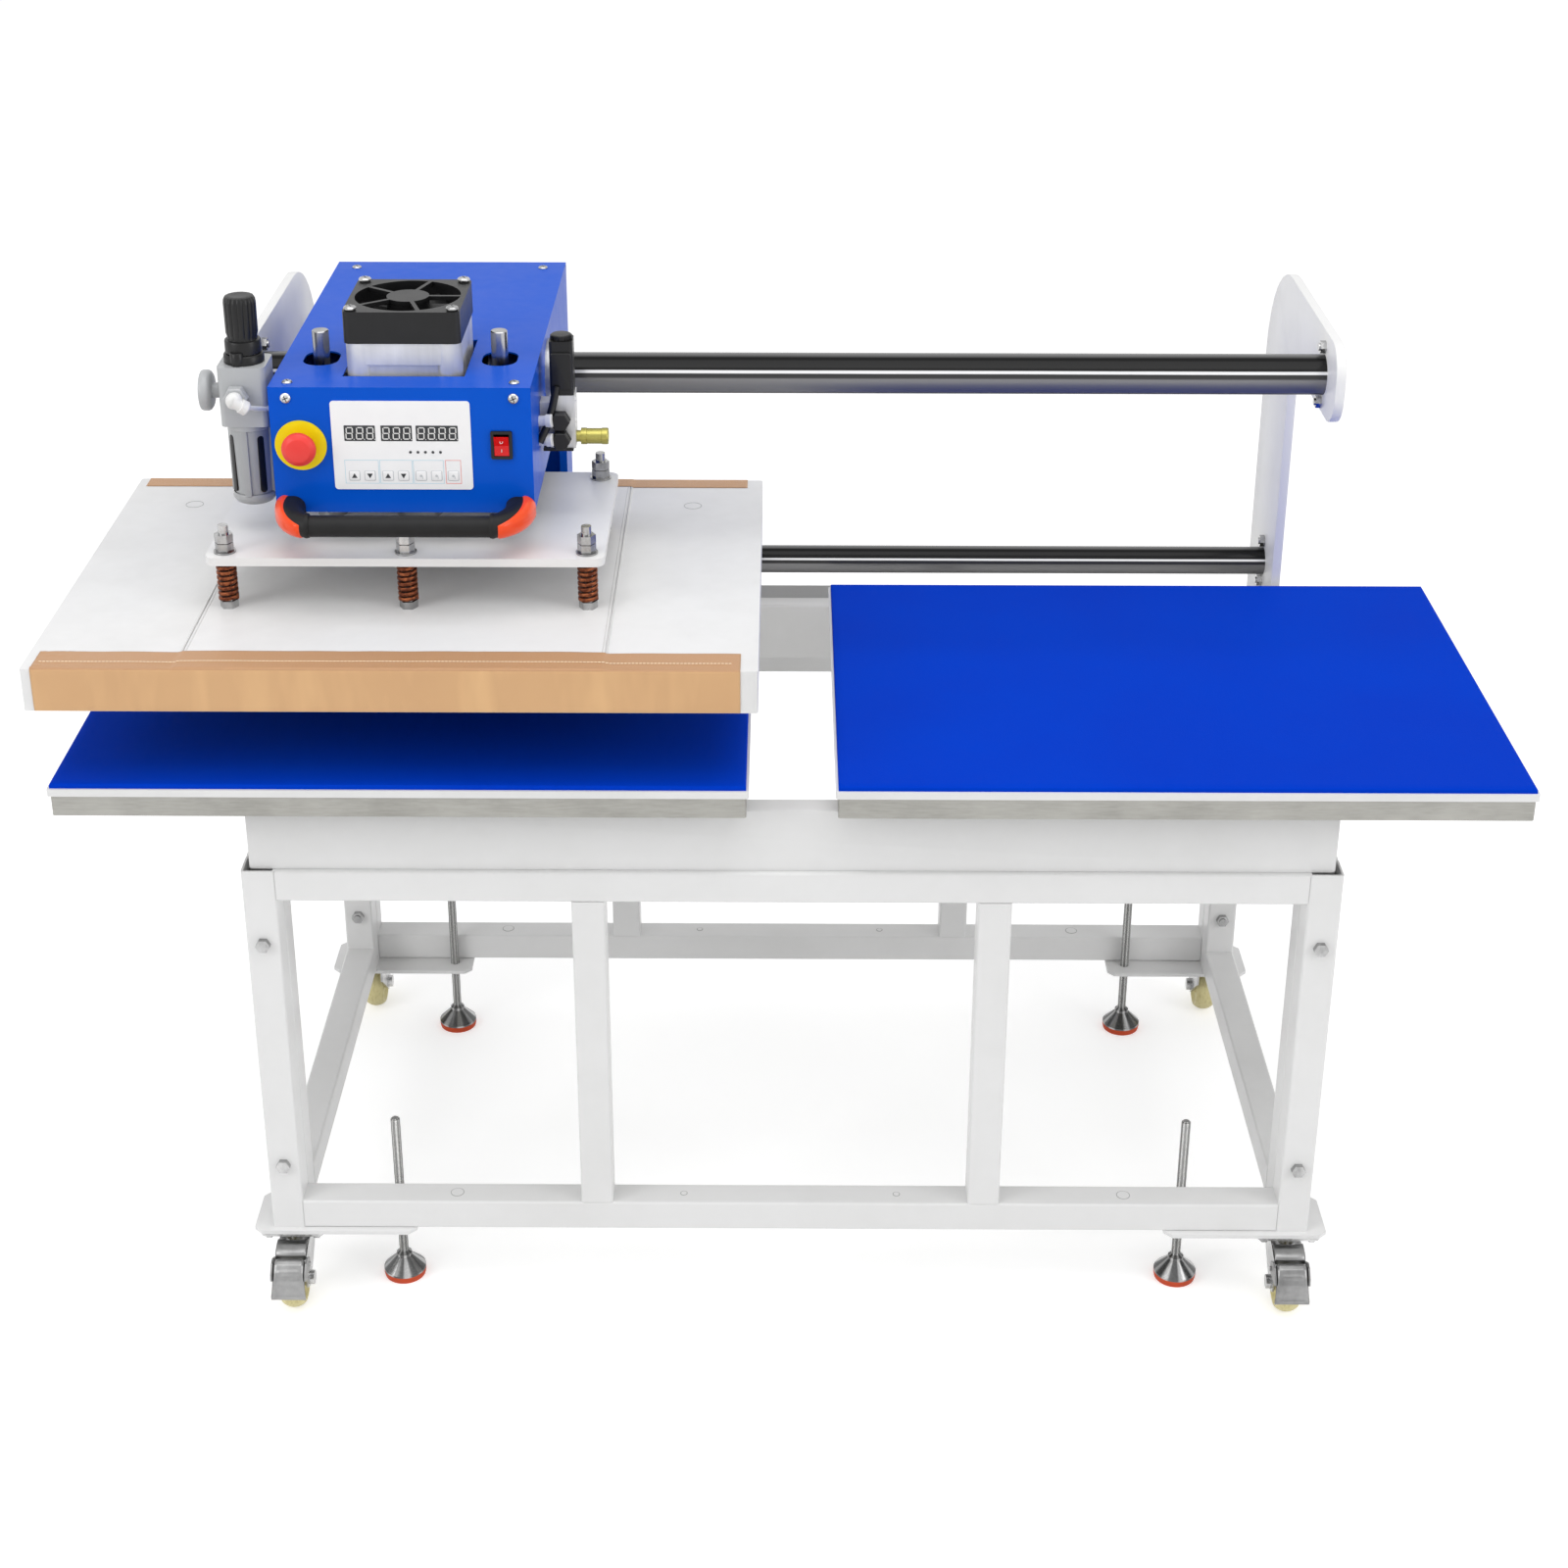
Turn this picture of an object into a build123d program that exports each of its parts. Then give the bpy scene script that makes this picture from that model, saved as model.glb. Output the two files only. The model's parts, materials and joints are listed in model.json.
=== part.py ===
from build123d import *
import os
from math import cos, pi, radians, sin

os.makedirs("parts", exist_ok=True)

# Dual station pneumatic heat press, in millimetres.
# +X runs to the right along the stations, +Y to the back, +Z up.
# The origin is on the floor, under the middle of the machine's outline.

# Stations
work_height = 755          # floor to the top of a pad
station_pitch = 906        # centre of the left station to centre of the right one
pad_width = 800
pad_depth = 600
pad_thick = 6
pad_corner = 8
board_over = 3             # the white board stands out round the pad
board_thick = 9
tray_inset = 3             # the metal tray is smaller than the board
tray_height = 26
tray_wall = 3
bearer_thick = 15
bearer_width = 40
bearer_spread = 480        # centre to centre of one station's two bearers

# Stand, welded from square tube
tube = 40
tube_wall = 2.5
tube_corner = 3
frame_depth = 695
frame_setback = 39.5       # front of the pads to the front of the stand
post_spread = 484          # centre to centre of the middle posts
bolt_heights = (202, 520)
beam_height = 80
beam_thick = 30
beam_wall = 3
beam_setback = 8           # front of the stand to the front bed beam
beam_end_inset = 10
rear_beam_back = 654.5     # front of the pads to the front face of the rear beam
end_beam_length = 680
leg_bolt_radius = 5
nut_height = 7
hole_clearance = 0.2

# Corner plates, casters and levelling feet
corner_plate_thick = 5
corner_plate_length = 205
corner_plate_width = 84
corner_plate_out = 24      # plate stands out beyond the side of the leg
corner_plate_fore = 8      # and beyond its front
caster_height = 102
caster_inset_x = 24        # side of the stand to the swivel axis
caster_inset_y = 22.5
caster_trail = 32
caster_plate_thick = 3
caster_plate_length = 78
caster_plate_width = 62
wheel_radius = 37.5
wheel_width = 28
wheel_bore_clearance = 0.05
axle_radius = 5
fork_thick = 3
fork_gap = 2               # wheel side to fork cheek
fork_top = 86
race_radius = 22
race_gap = 0.3             # swivel head to the fixed plate
pedal_thick = 3
pedal_reach = 81.5         # swivel axis to the tip of the brake pedal
pedal_pivot = (-46, 68)    # behind the swivel axis, above the floor
pedal_pin_radius = 3
pedal_side_gap = 0.5
foot_inset_x = 154
foot_inset_y = 51
foot_radius = 27
foot_rubber_height = 5
foot_cone_top = 32
foot_stud_radius = 6
foot_stud_top = 238
foot_nut_radius = 10.5
foot_nut_height = 10
running_clearance = 0.05

# Gantry, end plates and the two shafts
end_plate_thick = 12
arm_front = 332            # from the front of the pads
arm_top = 1171
arm_bottom = 1070
column_front = 613
column_rear = 783
column_bottom = 480
column_corner = 10
upper_shaft_back = 408
upper_shaft_height = 1117
upper_shaft_radius = 25
lower_shaft_back = 682
lower_shaft_height = 758
lower_shaft_radius = 19
shaft_bolt_radius = 8
shaft_bolt_depth = 40
clamp_bolt_radius = 4.5    # bolts above and below each shaft
clamp_gap = 2              # shaft to the nuts of those bolts

# Press head
head_width = 302
head_front = 188           # from the front of the pads
head_rear = 714
head_bottom = 1017
head_top = 1170
sheet = 2
side_plate_thick = 10
side_plate_corner = 14
head_end_gap = 48          # side of the head to the end plate it stops at
arm_drop_front = 636
arm_drop_bottom = 724
deck_thick = 15
deck_rear = 372
rod_spread = 211           # centre to centre of the guide rods
rod_back = 297
rod_radius = 10
rod_top = 1205
rod_collar_radius = 18
rod_collar_height = 12
slot_width = 42
slot_length = 56
cutout_margin = 5          # between the cylinder and the opening in the cover
bearing_wall = 9
bearing_length = 70
flange_over = 8
flange_thick = 6
bush_wall = 6
bush_length = 60

# Pneumatic cylinder and its fan
cylinder_size = 132
cylinder_corner = 20
cylinder_top = 1208
cylinder_bore = 50         # radius
cap_height = 26
piston_thick = 22
piston_gap = 2             # piston to the top cap, press open
piston_rod_radius = 16
fan_size = 136
fan_height = 38
fan_duct_radius = 62
fan_corner = 8
fan_strut_thick = 3
fan_hub_radius = 25
fan_hub_height = 5
fan_rotor_gap = 1.5
fan_tip_gap = 2
fan_blades = 7
fan_screw_radius = 2.5
fan_screw_inset = 9

# Press plate, springs and heated platen
press_plate_width = 466
press_plate_front = 148
press_plate_depth = 292
press_plate_thick = 10
press_plate_top = 974.5
press_plate_corner = 12
stroke = 95.5
float_travel = 6
hot_width = 828
hot_depth = 610
hot_height = 51.5
hot_front = 10             # stands forward of the pad
press_gap = 96             # pad to the wrapped platen, press open
wrap_thick = 1.5
wrap_end_left = 12         # bare hood at the ends of the wrap
wrap_end_right = 20
wrap_front_lip = 26
wrap_rear_lip = 14
hood_sheet = 2
hood_edge = 3
hot_plate_thick = 22
hot_plate_edge = 1         # heating plate to the hood's walls
hood_seam = 478            # width of the raised middle panel
hood_panel_thick = 1.5
stud_columns = (-212, 0, 212)
stud_rows = (168, 418)     # from the front of the pads
stud_radius = 6
stud_top = 34              # above the press plate
nut_radius = 11
spring_wire = 4
spring_radius = 12         # outside
base_nut_height = 9

# Controls on the head
panel_width = 161
panel_height = 108
panel_thick = 1.2
panel_centre_height = 1100
estop_offset = -117        # from the head's middle
estop_height = 1100
estop_disc_radius = 30
estop_disc_thick = 2
estop_cap_radius = 20
estop_stem_radius = 11
estop_travel = 5
estop_reach = 30
rocker_offset = 115.5
rocker_height = 1101
rocker_bezel_width = 25
rocker_bezel_height = 34
rocker_bezel_thick = 3
rocker_width = 17
rocker_length = 26
rocker_angle = 9           # tilt either side of level
rocker_pin_radius = 1.5
handle_back = 135          # from the front of the pads to the bar's axis
handle_height = 1020
handle_radius = 12.5
handle_half = 150
handle_bracket_width = 46

# Air preparation unit on the left of the head
unit_offset = -187
unit_back = 246
unit_width = 56
unit_depth = 56
unit_bottom = 1111
unit_top = 1183
bowl_radius = 25
bowl_bottom = 1012
unit_neck_radius = 17
unit_neck_height = 12
knob_radius = 19
knob_top = 1262
gauge_radius = 20
gauge_depth = 20
inlet_reach = 22
inlet_depth = 14           # socket for the air hose
inlet_radius = 4.1

# Solenoid valve on the right of the head
valve_offset = 178
valve_back = 304
valve_width = 30
valve_depth = 32
valve_bottom = 1061
valve_top = 1127
coil_height = 66
coil_inset = 1
silencer_radius = 10
silencer_length = 38
silencer_height = 1067

# Places worked out from the sizes above
body_clearance = 0.3
outline_front = min(-hot_front - wrap_thick, frame_setback + caster_inset_y - pedal_reach)
mid_x = (hot_width / 2 - pad_width / 2 - board_over) / 2
pad_y = -(outline_front + column_rear) / 2
frame_width = station_pitch + head_width + 2 * head_end_gap
left_x = mid_x - station_pitch / 2
right_x = mid_x + station_pitch / 2
board_top = work_height - pad_thick
tray_top = board_top - board_thick
bearer_top = tray_top - tray_height
beam_top = bearer_top - bearer_thick
frame_top = beam_top - beam_height
plate_bottom = caster_height
leg_bottom = caster_height + corner_plate_thick
frame_y = pad_y + frame_setback
frame_back = frame_y + frame_depth
leg_x = frame_width / 2 - tube / 2
leg_ys = (frame_y + tube / 2, frame_back - tube / 2)
upright_ys = (frame_y + 1.5 * tube, frame_back - 1.5 * tube)
end_face = frame_width / 2


def above(x, y, z):
    """Plane facing up at a point."""
    return Plane(origin=(x, y, z))


def to_right(x, y, z):
    """Plane facing +X, with its own x along +Y and its own y along +Z."""
    return Plane(origin=(x, y, z), x_dir=(0, 1, 0), z_dir=(1, 0, 0))


def to_back(x, y, z):
    """Plane facing +Y, with its own x along +X."""
    return Plane(origin=(x, y, z), x_dir=(1, 0, 0), z_dir=(0, 1, 0))


def to_front(x, y, z):
    """Plane facing -Y, with its own x along +X and its own y along +Z."""
    return Plane(origin=(x, y, z), x_dir=(1, 0, 0), z_dir=(0, -1, 0))


def save(piece, name):
    """Label a finished piece and write its file."""
    piece.part.label = name
    export_step(piece.part, f"parts/{name}.step")


def hollow_tube(plane, length, width=tube, height=tube, wall=tube_wall):
    """Rectangular tube with rounded corners, from a plane."""
    with BuildSketch(plane) as profile:
        RectangleRounded(width, height, tube_corner)
        Rectangle(width - 2 * wall, height - 2 * wall, mode=Mode.SUBTRACT)
    extrude(profile.sketch, amount=length)


def round_bar(plane, radius, length, mode=Mode.ADD):
    """Cylinder that starts on a plane."""
    with BuildSketch(plane) as profile:
        Circle(radius)
    extrude(profile.sketch, amount=length, mode=mode)


def round_tube(plane, radius, bore, length):
    """Tube that starts on a plane."""
    with BuildSketch(plane) as profile:
        Circle(radius)
        Circle(bore, mode=Mode.SUBTRACT)
    extrude(profile.sketch, amount=length)


def hex_bolt(plane, radius, shank, head=nut_height):
    """Hexagon bolt whose head stands on a plane and whose shank goes into it."""
    with BuildSketch(plane) as profile:
        RegularPolygon(1.8 * radius, 6)
    extrude(profile.sketch, amount=head)
    with BuildSketch(plane) as profile:
        Circle(radius)
    extrude(profile.sketch, amount=-shank)


def hex_nut(plane, radius, bore, height):
    """Hexagon nut that stands on a plane."""
    with BuildSketch(plane) as profile:
        RegularPolygon(radius, 6)
        Circle(bore, mode=Mode.SUBTRACT)
    extrude(profile.sketch, amount=height)


# Stand: four legs and four middle posts, joined by four long rails
with BuildPart() as stand_posts:
    for side in (-1, 1):
        for y in leg_ys:
            hollow_tube(above(mid_x + side * leg_x, y, leg_bottom), frame_top - leg_bottom)
            for z in bolt_heights:
                start = to_back(mid_x + side * leg_x, y - tube, z)
                round_bar(start, leg_bolt_radius + hole_clearance, 2 * tube, Mode.SUBTRACT)
            base = above(mid_x + side * post_spread / 2, y, leg_bottom + tube)
            hollow_tube(base, frame_top - leg_bottom - 2 * tube)
save(stand_posts, "stand_posts")

rail_inner = leg_x - tube / 2
with BuildPart() as long_rails:
    for y in leg_ys:
        for z in (leg_bottom + tube / 2, frame_top - tube / 2):
            hollow_tube(to_right(mid_x - rail_inner, y, z), 2 * rail_inner)
save(long_rails, "long_rails")

# Side frames, bolted to the backs of the front legs and the fronts of the rear ones
side_rail_start = frame_y + 2 * tube
with BuildPart() as side_frames:
    for side in (-1, 1):
        for y in upright_ys:
            base = above(mid_x + side * leg_x, y, leg_bottom)
            hollow_tube(base, frame_top - leg_bottom)
            for z in bolt_heights:
                start = to_back(mid_x + side * leg_x, y - tube, z)
                round_bar(start, leg_bolt_radius + hole_clearance, 2 * tube, Mode.SUBTRACT)
        for z in (leg_bottom + tube / 2, frame_top - tube / 2):
            start = to_back(mid_x + side * leg_x, side_rail_start, z)
            hollow_tube(start, frame_depth - 4 * tube)
save(side_frames, "side_frames")

# Bed of rectangular beams on top of the stand
bed_half = end_face - beam_end_inset
bed_front = frame_y + beam_setback
beam_middle = frame_top + beam_height / 2
with BuildPart() as bed_beams:
    for y in (bed_front, pad_y + rear_beam_back):
        start = to_right(mid_x - bed_half + beam_thick, y + beam_thick / 2, beam_middle)
        hollow_tube(start, 2 * (bed_half - beam_thick), beam_thick, beam_height, beam_wall)
    for side in (-1, 1):
        start = to_back(mid_x + side * (bed_half - beam_thick / 2), bed_front, beam_middle)
        hollow_tube(start, end_beam_length, beam_thick, beam_height, beam_wall)
save(bed_beams, "bed_beams")

# Bearers across the bed, two under each station
bearer_length = rear_beam_back + beam_thick - frame_setback - beam_setback
with BuildPart() as platen_bearers:
    with BuildSketch(Plane.XY.offset(beam_top)):
        for station in (left_x, right_x):
            for side in (-1, 1):
                with Locations((station + side * bearer_spread / 2, bed_front + bearer_length / 2)):
                    Rectangle(bearer_width, bearer_length)
    extrude(amount=bearer_thick)
save(platen_bearers, "platen_bearers")


# Both stations: metal tray, white board and soft pad
station_middle = pad_y + pad_depth / 2
board_width = pad_width + 2 * board_over
board_depth = pad_depth + 2 * board_over
tray_width = board_width - 2 * tray_inset
tray_depth = board_depth - 2 * tray_inset
with BuildPart() as platen_trays:
    for x in (left_x, right_x):
        with BuildSketch(above(x, station_middle, bearer_top)):
            RectangleRounded(tray_width, tray_depth, tray_wall)
        extrude(amount=tray_height)
        with BuildSketch(above(x, station_middle, bearer_top)):
            Rectangle(tray_width - 2 * tray_wall, tray_depth - 2 * tray_wall)
        extrude(amount=tray_height - tray_wall, mode=Mode.SUBTRACT)
save(platen_trays, "platen_trays")

with BuildPart() as platen_boards:
    for x in (left_x, right_x):
        with BuildSketch(above(x, station_middle, tray_top)):
            RectangleRounded(board_width, board_depth, tray_wall)
        extrude(amount=board_thick)
save(platen_boards, "platen_boards")

with BuildPart() as pads:
    for x in (left_x, right_x):
        with BuildSketch(above(x, station_middle, board_top)):
            RectangleRounded(pad_width, pad_depth, pad_corner)
        extrude(amount=pad_thick)
save(pads, "pads")

# End plates, each an arm to the front on a column at the back
column_bolts = (bolt_heights[1], (bolt_heights[1] + frame_top) / 2 + 15)
shafts_at = (
    (upper_shaft_back, upper_shaft_height, upper_shaft_radius),
    (lower_shaft_back, lower_shaft_height, lower_shaft_radius),
)
clamp_nut_radius = 1.8 * clamp_bolt_radius
clamp_places = [
    (back, height + way * (radius + clamp_nut_radius + clamp_gap))
    for back, height, radius in shafts_at
    for way in (-1, 1)
]
with BuildPart() as end_plates:
    for side in (-1, 1):
        inner = mid_x + side * end_face
        left_face = min(inner, inner + side * end_plate_thick)
        with BuildSketch(to_right(left_face, pad_y, 0)) as outline:
            with BuildLine():
                Polyline(
                    (column_rear, column_bottom),
                    (column_rear, arm_top),
                    (arm_front, arm_top),
                    (arm_front, arm_bottom),
                    (column_front, arm_bottom),
                    (column_front, column_bottom),
                    close=True,
                )
            make_face()
            fillet(outline.vertices(), column_corner)
            for back, height, _ in shafts_at:
                with Locations((back, height)):
                    Circle(shaft_bolt_radius + hole_clearance, mode=Mode.SUBTRACT)
            for back, height in clamp_places:
                with Locations((back, height)):
                    Circle(clamp_bolt_radius + hole_clearance, mode=Mode.SUBTRACT)
            for height in column_bolts:
                with Locations((leg_ys[1] - pad_y, height)):
                    Circle(leg_bolt_radius + hole_clearance, mode=Mode.SUBTRACT)
        extrude(amount=end_plate_thick)
save(end_plates, "end_plates")

# Two round shafts between the end plates, tapped in both ends
with BuildPart() as shafts:
    for back, height, radius in shafts_at:
        start = to_right(mid_x - end_face, pad_y + back, height)
        round_bar(start, radius, 2 * end_face)
        round_bar(start, shaft_bolt_radius + hole_clearance, shaft_bolt_depth + 1, Mode.SUBTRACT)
        far = start.offset(2 * end_face - shaft_bolt_depth - 1)
        round_bar(far, shaft_bolt_radius + hole_clearance, shaft_bolt_depth + 1, Mode.SUBTRACT)
save(shafts, "shafts")


def outward(side, x, y, z):
    """Plane facing away from the machine's middle."""
    return Plane(origin=(x, y, z), x_dir=(0, side, 0), z_dir=(side, 0, 0))


# Corner plates under the legs, one end for the caster and one for the levelling foot
foot_hole = foot_stud_radius + 0.5
caster_xs = [mid_x + side * (end_face - caster_inset_x) for side in (-1, 1)]
caster_ys = (frame_y + caster_inset_y, frame_back - caster_inset_y)
foot_xs = [mid_x + side * (end_face - foot_inset_x) for side in (-1, 1)]
foot_ys = (frame_y + foot_inset_y, frame_back - foot_inset_y)
with BuildPart() as corner_plates:
    for side in (-1, 1):
        for end in (-1, 1):
            edge_x = mid_x + side * (end_face + corner_plate_out)
            edge_y = frame_y - corner_plate_fore if end < 0 else frame_back + corner_plate_fore
            middle_x = edge_x - side * corner_plate_length / 2
            middle_y = edge_y - end * corner_plate_width / 2
            with BuildSketch(above(middle_x, middle_y, plate_bottom)) as blank:
                Rectangle(corner_plate_length, corner_plate_width)
                chamfer(blank.vertices(), 10)
            extrude(amount=corner_plate_thick)
    with Locations(*[(x, y, plate_bottom) for x in foot_xs for y in foot_ys]):
        Cylinder(foot_hole, 3 * corner_plate_thick, mode=Mode.SUBTRACT)
save(corner_plates, "corner_plates")

# Fixed plates of the casters, with the heads of their bolts
with BuildPart() as caster_plates:
    for x in caster_xs:
        for y in caster_ys:
            with BuildSketch(above(x, y, plate_bottom - caster_plate_thick)):
                RectangleRounded(caster_plate_length, caster_plate_width, 6)
            extrude(amount=caster_plate_thick)
            with BuildSketch(above(x, y, plate_bottom - caster_plate_thick)):
                with GridLocations(caster_plate_length - 18, caster_plate_width - 18, 2, 2):
                    RegularPolygon(6, 6)
            extrude(amount=-5)
            with BuildSketch(above(x, y, plate_bottom - caster_plate_thick)):
                Circle(race_radius - 4)
            extrude(amount=-(plate_bottom - caster_plate_thick - fork_top) / 2)
save(caster_plates, "caster_plates")

cheek_inner = wheel_width / 2 + fork_gap
cheek_outer = cheek_inner + fork_thick
pedal_inner = cheek_outer + pedal_side_gap
race_bottom = (plate_bottom - caster_plate_thick + fork_top) / 2


def caster_side(x, y, turn, offset=0):
    """Upright plane through a caster, with its own x away from the trail."""
    origin = (x + turn * offset, y, 0)
    return Plane(origin=origin, x_dir=(0, turn, 0), z_dir=(turn, 0, 0))


def caster(name, x, y, turn, braked):
    """Swivel fork and wheel of one caster, and its brake pedal."""
    with BuildPart() as fork:
        for side in (-1, 1):
            flank = caster_side(x, y, turn, side * (cheek_inner + fork_thick / 2))
            with BuildSketch(flank) as cheek:
                with BuildLine():
                    Polyline(
                        (race_radius, fork_top),
                        (-race_radius, fork_top),
                        (pedal_pivot[0] - 8, pedal_pivot[1] + 6),
                        (pedal_pivot[0] - 8, pedal_pivot[1] - 8),
                        (-caster_trail - 14, wheel_radius - 6),
                        (-caster_trail + 2, wheel_radius - 13),
                        (race_radius, fork_top - 18),
                        close=True,
                    )
                make_face()
            extrude(amount=fork_thick / 2, both=True)
        bridge_front = caster_side(x, y, turn, -cheek_outer)
        with BuildSketch(bridge_front):
            with Locations((0, fork_top - fork_thick / 2)):
                Rectangle(2 * race_radius, fork_thick)
        extrude(amount=2 * cheek_outer)
        swivel_height = plate_bottom - caster_plate_thick - race_gap - fork_top
        round_bar(above(x, y, fork_top), race_radius, swivel_height)
        socket = above(x, y, race_bottom - race_gap)
        round_bar(socket, race_radius - 4 + running_clearance, 20, Mode.SUBTRACT)
        hub = caster_side(x, y, turn, -cheek_outer).origin
        axle_start = Plane(
            origin=hub + Vector(0, -turn * caster_trail, wheel_radius),
            x_dir=(0, turn, 0),
            z_dir=(turn, 0, 0),
        )
        round_bar(axle_start.offset(-6), 9, 6)
        round_bar(axle_start.offset(-6), axle_radius, 2 * cheek_outer + 12)
        round_bar(axle_start.offset(2 * cheek_outer), 9, 6)
        if braked:
            pin = Plane(
                origin=hub + Vector(0, turn * pedal_pivot[0], pedal_pivot[1]),
                x_dir=(0, turn, 0),
                z_dir=(turn, 0, 0),
            )
            pin_reach = pedal_side_gap + pedal_thick + 2
            round_bar(pin.offset(-pin_reach), pedal_pin_radius, pin_reach)
            round_bar(pin.offset(2 * cheek_outer), pedal_pin_radius, pin_reach)
    save(fork, name + "_fork")

    with BuildPart() as wheel:
        half = wheel_width / 2
        with BuildSketch(Plane(origin=(x, y - turn * caster_trail, wheel_radius), z_dir=(0, 0, 1))) as section:
            with BuildLine():
                Polyline(
                    (-half, axle_radius + wheel_bore_clearance),
                    (half, axle_radius + wheel_bore_clearance),
                    (half, 11),
                    (half - 4, 13),
                    (half - 4, wheel_radius - 12),
                    (half, wheel_radius - 9),
                    (half, wheel_radius - 6),
                )
                ThreePointArc((half, wheel_radius - 6), (0, wheel_radius), (-half, wheel_radius - 6))
                Polyline(
                    (-half, wheel_radius - 6),
                    (-half, wheel_radius - 9),
                    (-half + 4, wheel_radius - 12),
                    (-half + 4, 13),
                    (-half, 11),
                    (-half, axle_radius + wheel_bore_clearance),
                )
            make_face()
        axis = Axis((x, y - turn * caster_trail, wheel_radius), (1, 0, 0))
        revolve(axis=axis)
    save(wheel, name + "_wheel")

    if not braked:
        return
    with BuildPart() as pedal:
        tip_y = -pedal_reach + pedal_thick / 2
        with BuildSketch(caster_side(x, y, turn, -pedal_inner)):
            with BuildLine():
                Polyline((pedal_pivot[0] - 14, 84), (tip_y + 5, 66), (tip_y, 46), (tip_y, 38))
            trace(line_width=pedal_thick)
        extrude(amount=2 * pedal_inner)
        for side in (-1, 1):
            flank = caster_side(x, y, turn, side * (pedal_inner + pedal_thick / 2))
            with BuildSketch(flank):
                with BuildLine():
                    Polyline(
                        (pedal_pivot[0] + 7, pedal_pivot[1] - 6),
                        (pedal_pivot[0] + 7, pedal_pivot[1] + 6),
                        (pedal_pivot[0] - 12, 85),
                        (tip_y + 6, 68),
                        (tip_y + 1, 58),
                        close=True,
                    )
                make_face()
                with Locations(pedal_pivot):
                    Circle(pedal_pin_radius + running_clearance, mode=Mode.SUBTRACT)
            extrude(amount=pedal_thick / 2, both=True)
    save(pedal, name + "_pedal")


caster("caster_front_left", caster_xs[0], caster_ys[0], 1, True)
caster("caster_front_right", caster_xs[1], caster_ys[0], 1, True)
caster("caster_rear_left", caster_xs[0], caster_ys[1], -1, False)
caster("caster_rear_right", caster_xs[1], caster_ys[1], -1, False)


def levelling_foot(name, x, y):
    """Rubber-soled base with its threaded stud."""
    with BuildPart() as foot:
        with BuildSketch(to_front(x, y, 0)):
            with BuildLine():
                Polyline(
                    (0, 0),
                    (foot_radius - 1, 0),
                    (foot_radius, foot_rubber_height),
                    (foot_radius, foot_rubber_height + 6),
                    (foot_stud_radius + 4, foot_cone_top - 4),
                    (foot_stud_radius + 4, foot_cone_top),
                    (foot_stud_radius, foot_cone_top + 3),
                    (foot_stud_radius, foot_stud_top - 2),
                    (foot_stud_radius - 2, foot_stud_top),
                    (0, foot_stud_top),
                    close=True,
                )
            make_face()
        revolve(axis=Axis((x, y, 0), (0, 0, 1)))
    save(foot, name)


levelling_foot("foot_front_left", foot_xs[0], foot_ys[0])
levelling_foot("foot_front_right", foot_xs[1], foot_ys[0])
levelling_foot("foot_rear_left", foot_xs[0], foot_ys[1])
levelling_foot("foot_rear_right", foot_xs[1], foot_ys[1])

# Bolts of the stand and the gantry with their nuts, and the nuts the feet turn in
leg_nut_radius = 1.8 * leg_bolt_radius
with BuildPart() as frame_bolts:
    for side in (-1, 1):
        outside = mid_x + side * (end_face + end_plate_thick)
        for back, height, _ in shafts_at:
            place = outward(side, outside, pad_y + back, height)
            hex_bolt(place, shaft_bolt_radius, end_plate_thick + shaft_bolt_depth)
        for back, height in clamp_places:
            place = outward(side, outside, pad_y + back, height)
            hex_bolt(place, clamp_bolt_radius, end_plate_thick + nut_height + 2)
            nut = outward(-side, mid_x + side * end_face, pad_y + back, height)
            hex_nut(nut, clamp_nut_radius, clamp_bolt_radius, nut_height)
        for height in column_bolts:
            place = outward(side, outside, leg_ys[1], height)
            hex_bolt(place, leg_bolt_radius, end_plate_thick - hole_clearance)
        x = mid_x + side * leg_x
        for z in bolt_heights:
            hex_bolt(to_front(x, frame_y, z), leg_bolt_radius, 2 * tube + nut_height + 2)
            hex_nut(to_back(x, frame_y + 2 * tube, z), leg_nut_radius, leg_bolt_radius, nut_height)
            hex_bolt(to_back(x, frame_back, z), leg_bolt_radius, 2 * tube + nut_height + 2)
            hex_nut(to_front(x, frame_back - 2 * tube, z), leg_nut_radius, leg_bolt_radius, nut_height)
    for x in foot_xs:
        for y in foot_ys:
            bore = foot_stud_radius + running_clearance
            hex_nut(above(x, y, plate_bottom - foot_nut_height), foot_nut_radius, bore, foot_nut_height)
save(frame_bolts, "frame_bolts")

# Head: two side plates that ride on both shafts, and the deck between them
head_y = pad_y + head_front
head_back = pad_y + head_rear
side_inner = head_width / 2 - side_plate_thick
upper_bearing_radius = upper_shaft_radius + bearing_wall
lower_bearing_radius = lower_shaft_radius + bearing_wall
shaft_places = (
    (upper_shaft_back, upper_shaft_height, upper_shaft_radius, upper_bearing_radius),
    (lower_shaft_back, lower_shaft_height, lower_shaft_radius, lower_bearing_radius),
)
with BuildPart() as head_side_plates:
    for side in (-1, 1):
        face = left_x + side * head_width / 2
        with BuildSketch(to_right(min(face, face - side * side_plate_thick), 0, 0)) as blank:
            with BuildLine():
                Polyline(
                    (head_y + sheet, head_bottom),
                    (head_y + sheet, head_top - sheet),
                    (head_back - sheet, head_top - sheet),
                    (head_back - sheet, arm_drop_bottom),
                    (pad_y + arm_drop_front, arm_drop_bottom),
                    (pad_y + arm_drop_front, head_bottom),
                    close=True,
                )
            make_face()
            fillet(blank.vertices(), side_plate_corner)
            for back, height, _, radius in shaft_places:
                with Locations((pad_y + back, height)):
                    Circle(radius, mode=Mode.SUBTRACT)
        extrude(amount=side_plate_thick)
save(head_side_plates, "head_side_plates")

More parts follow.
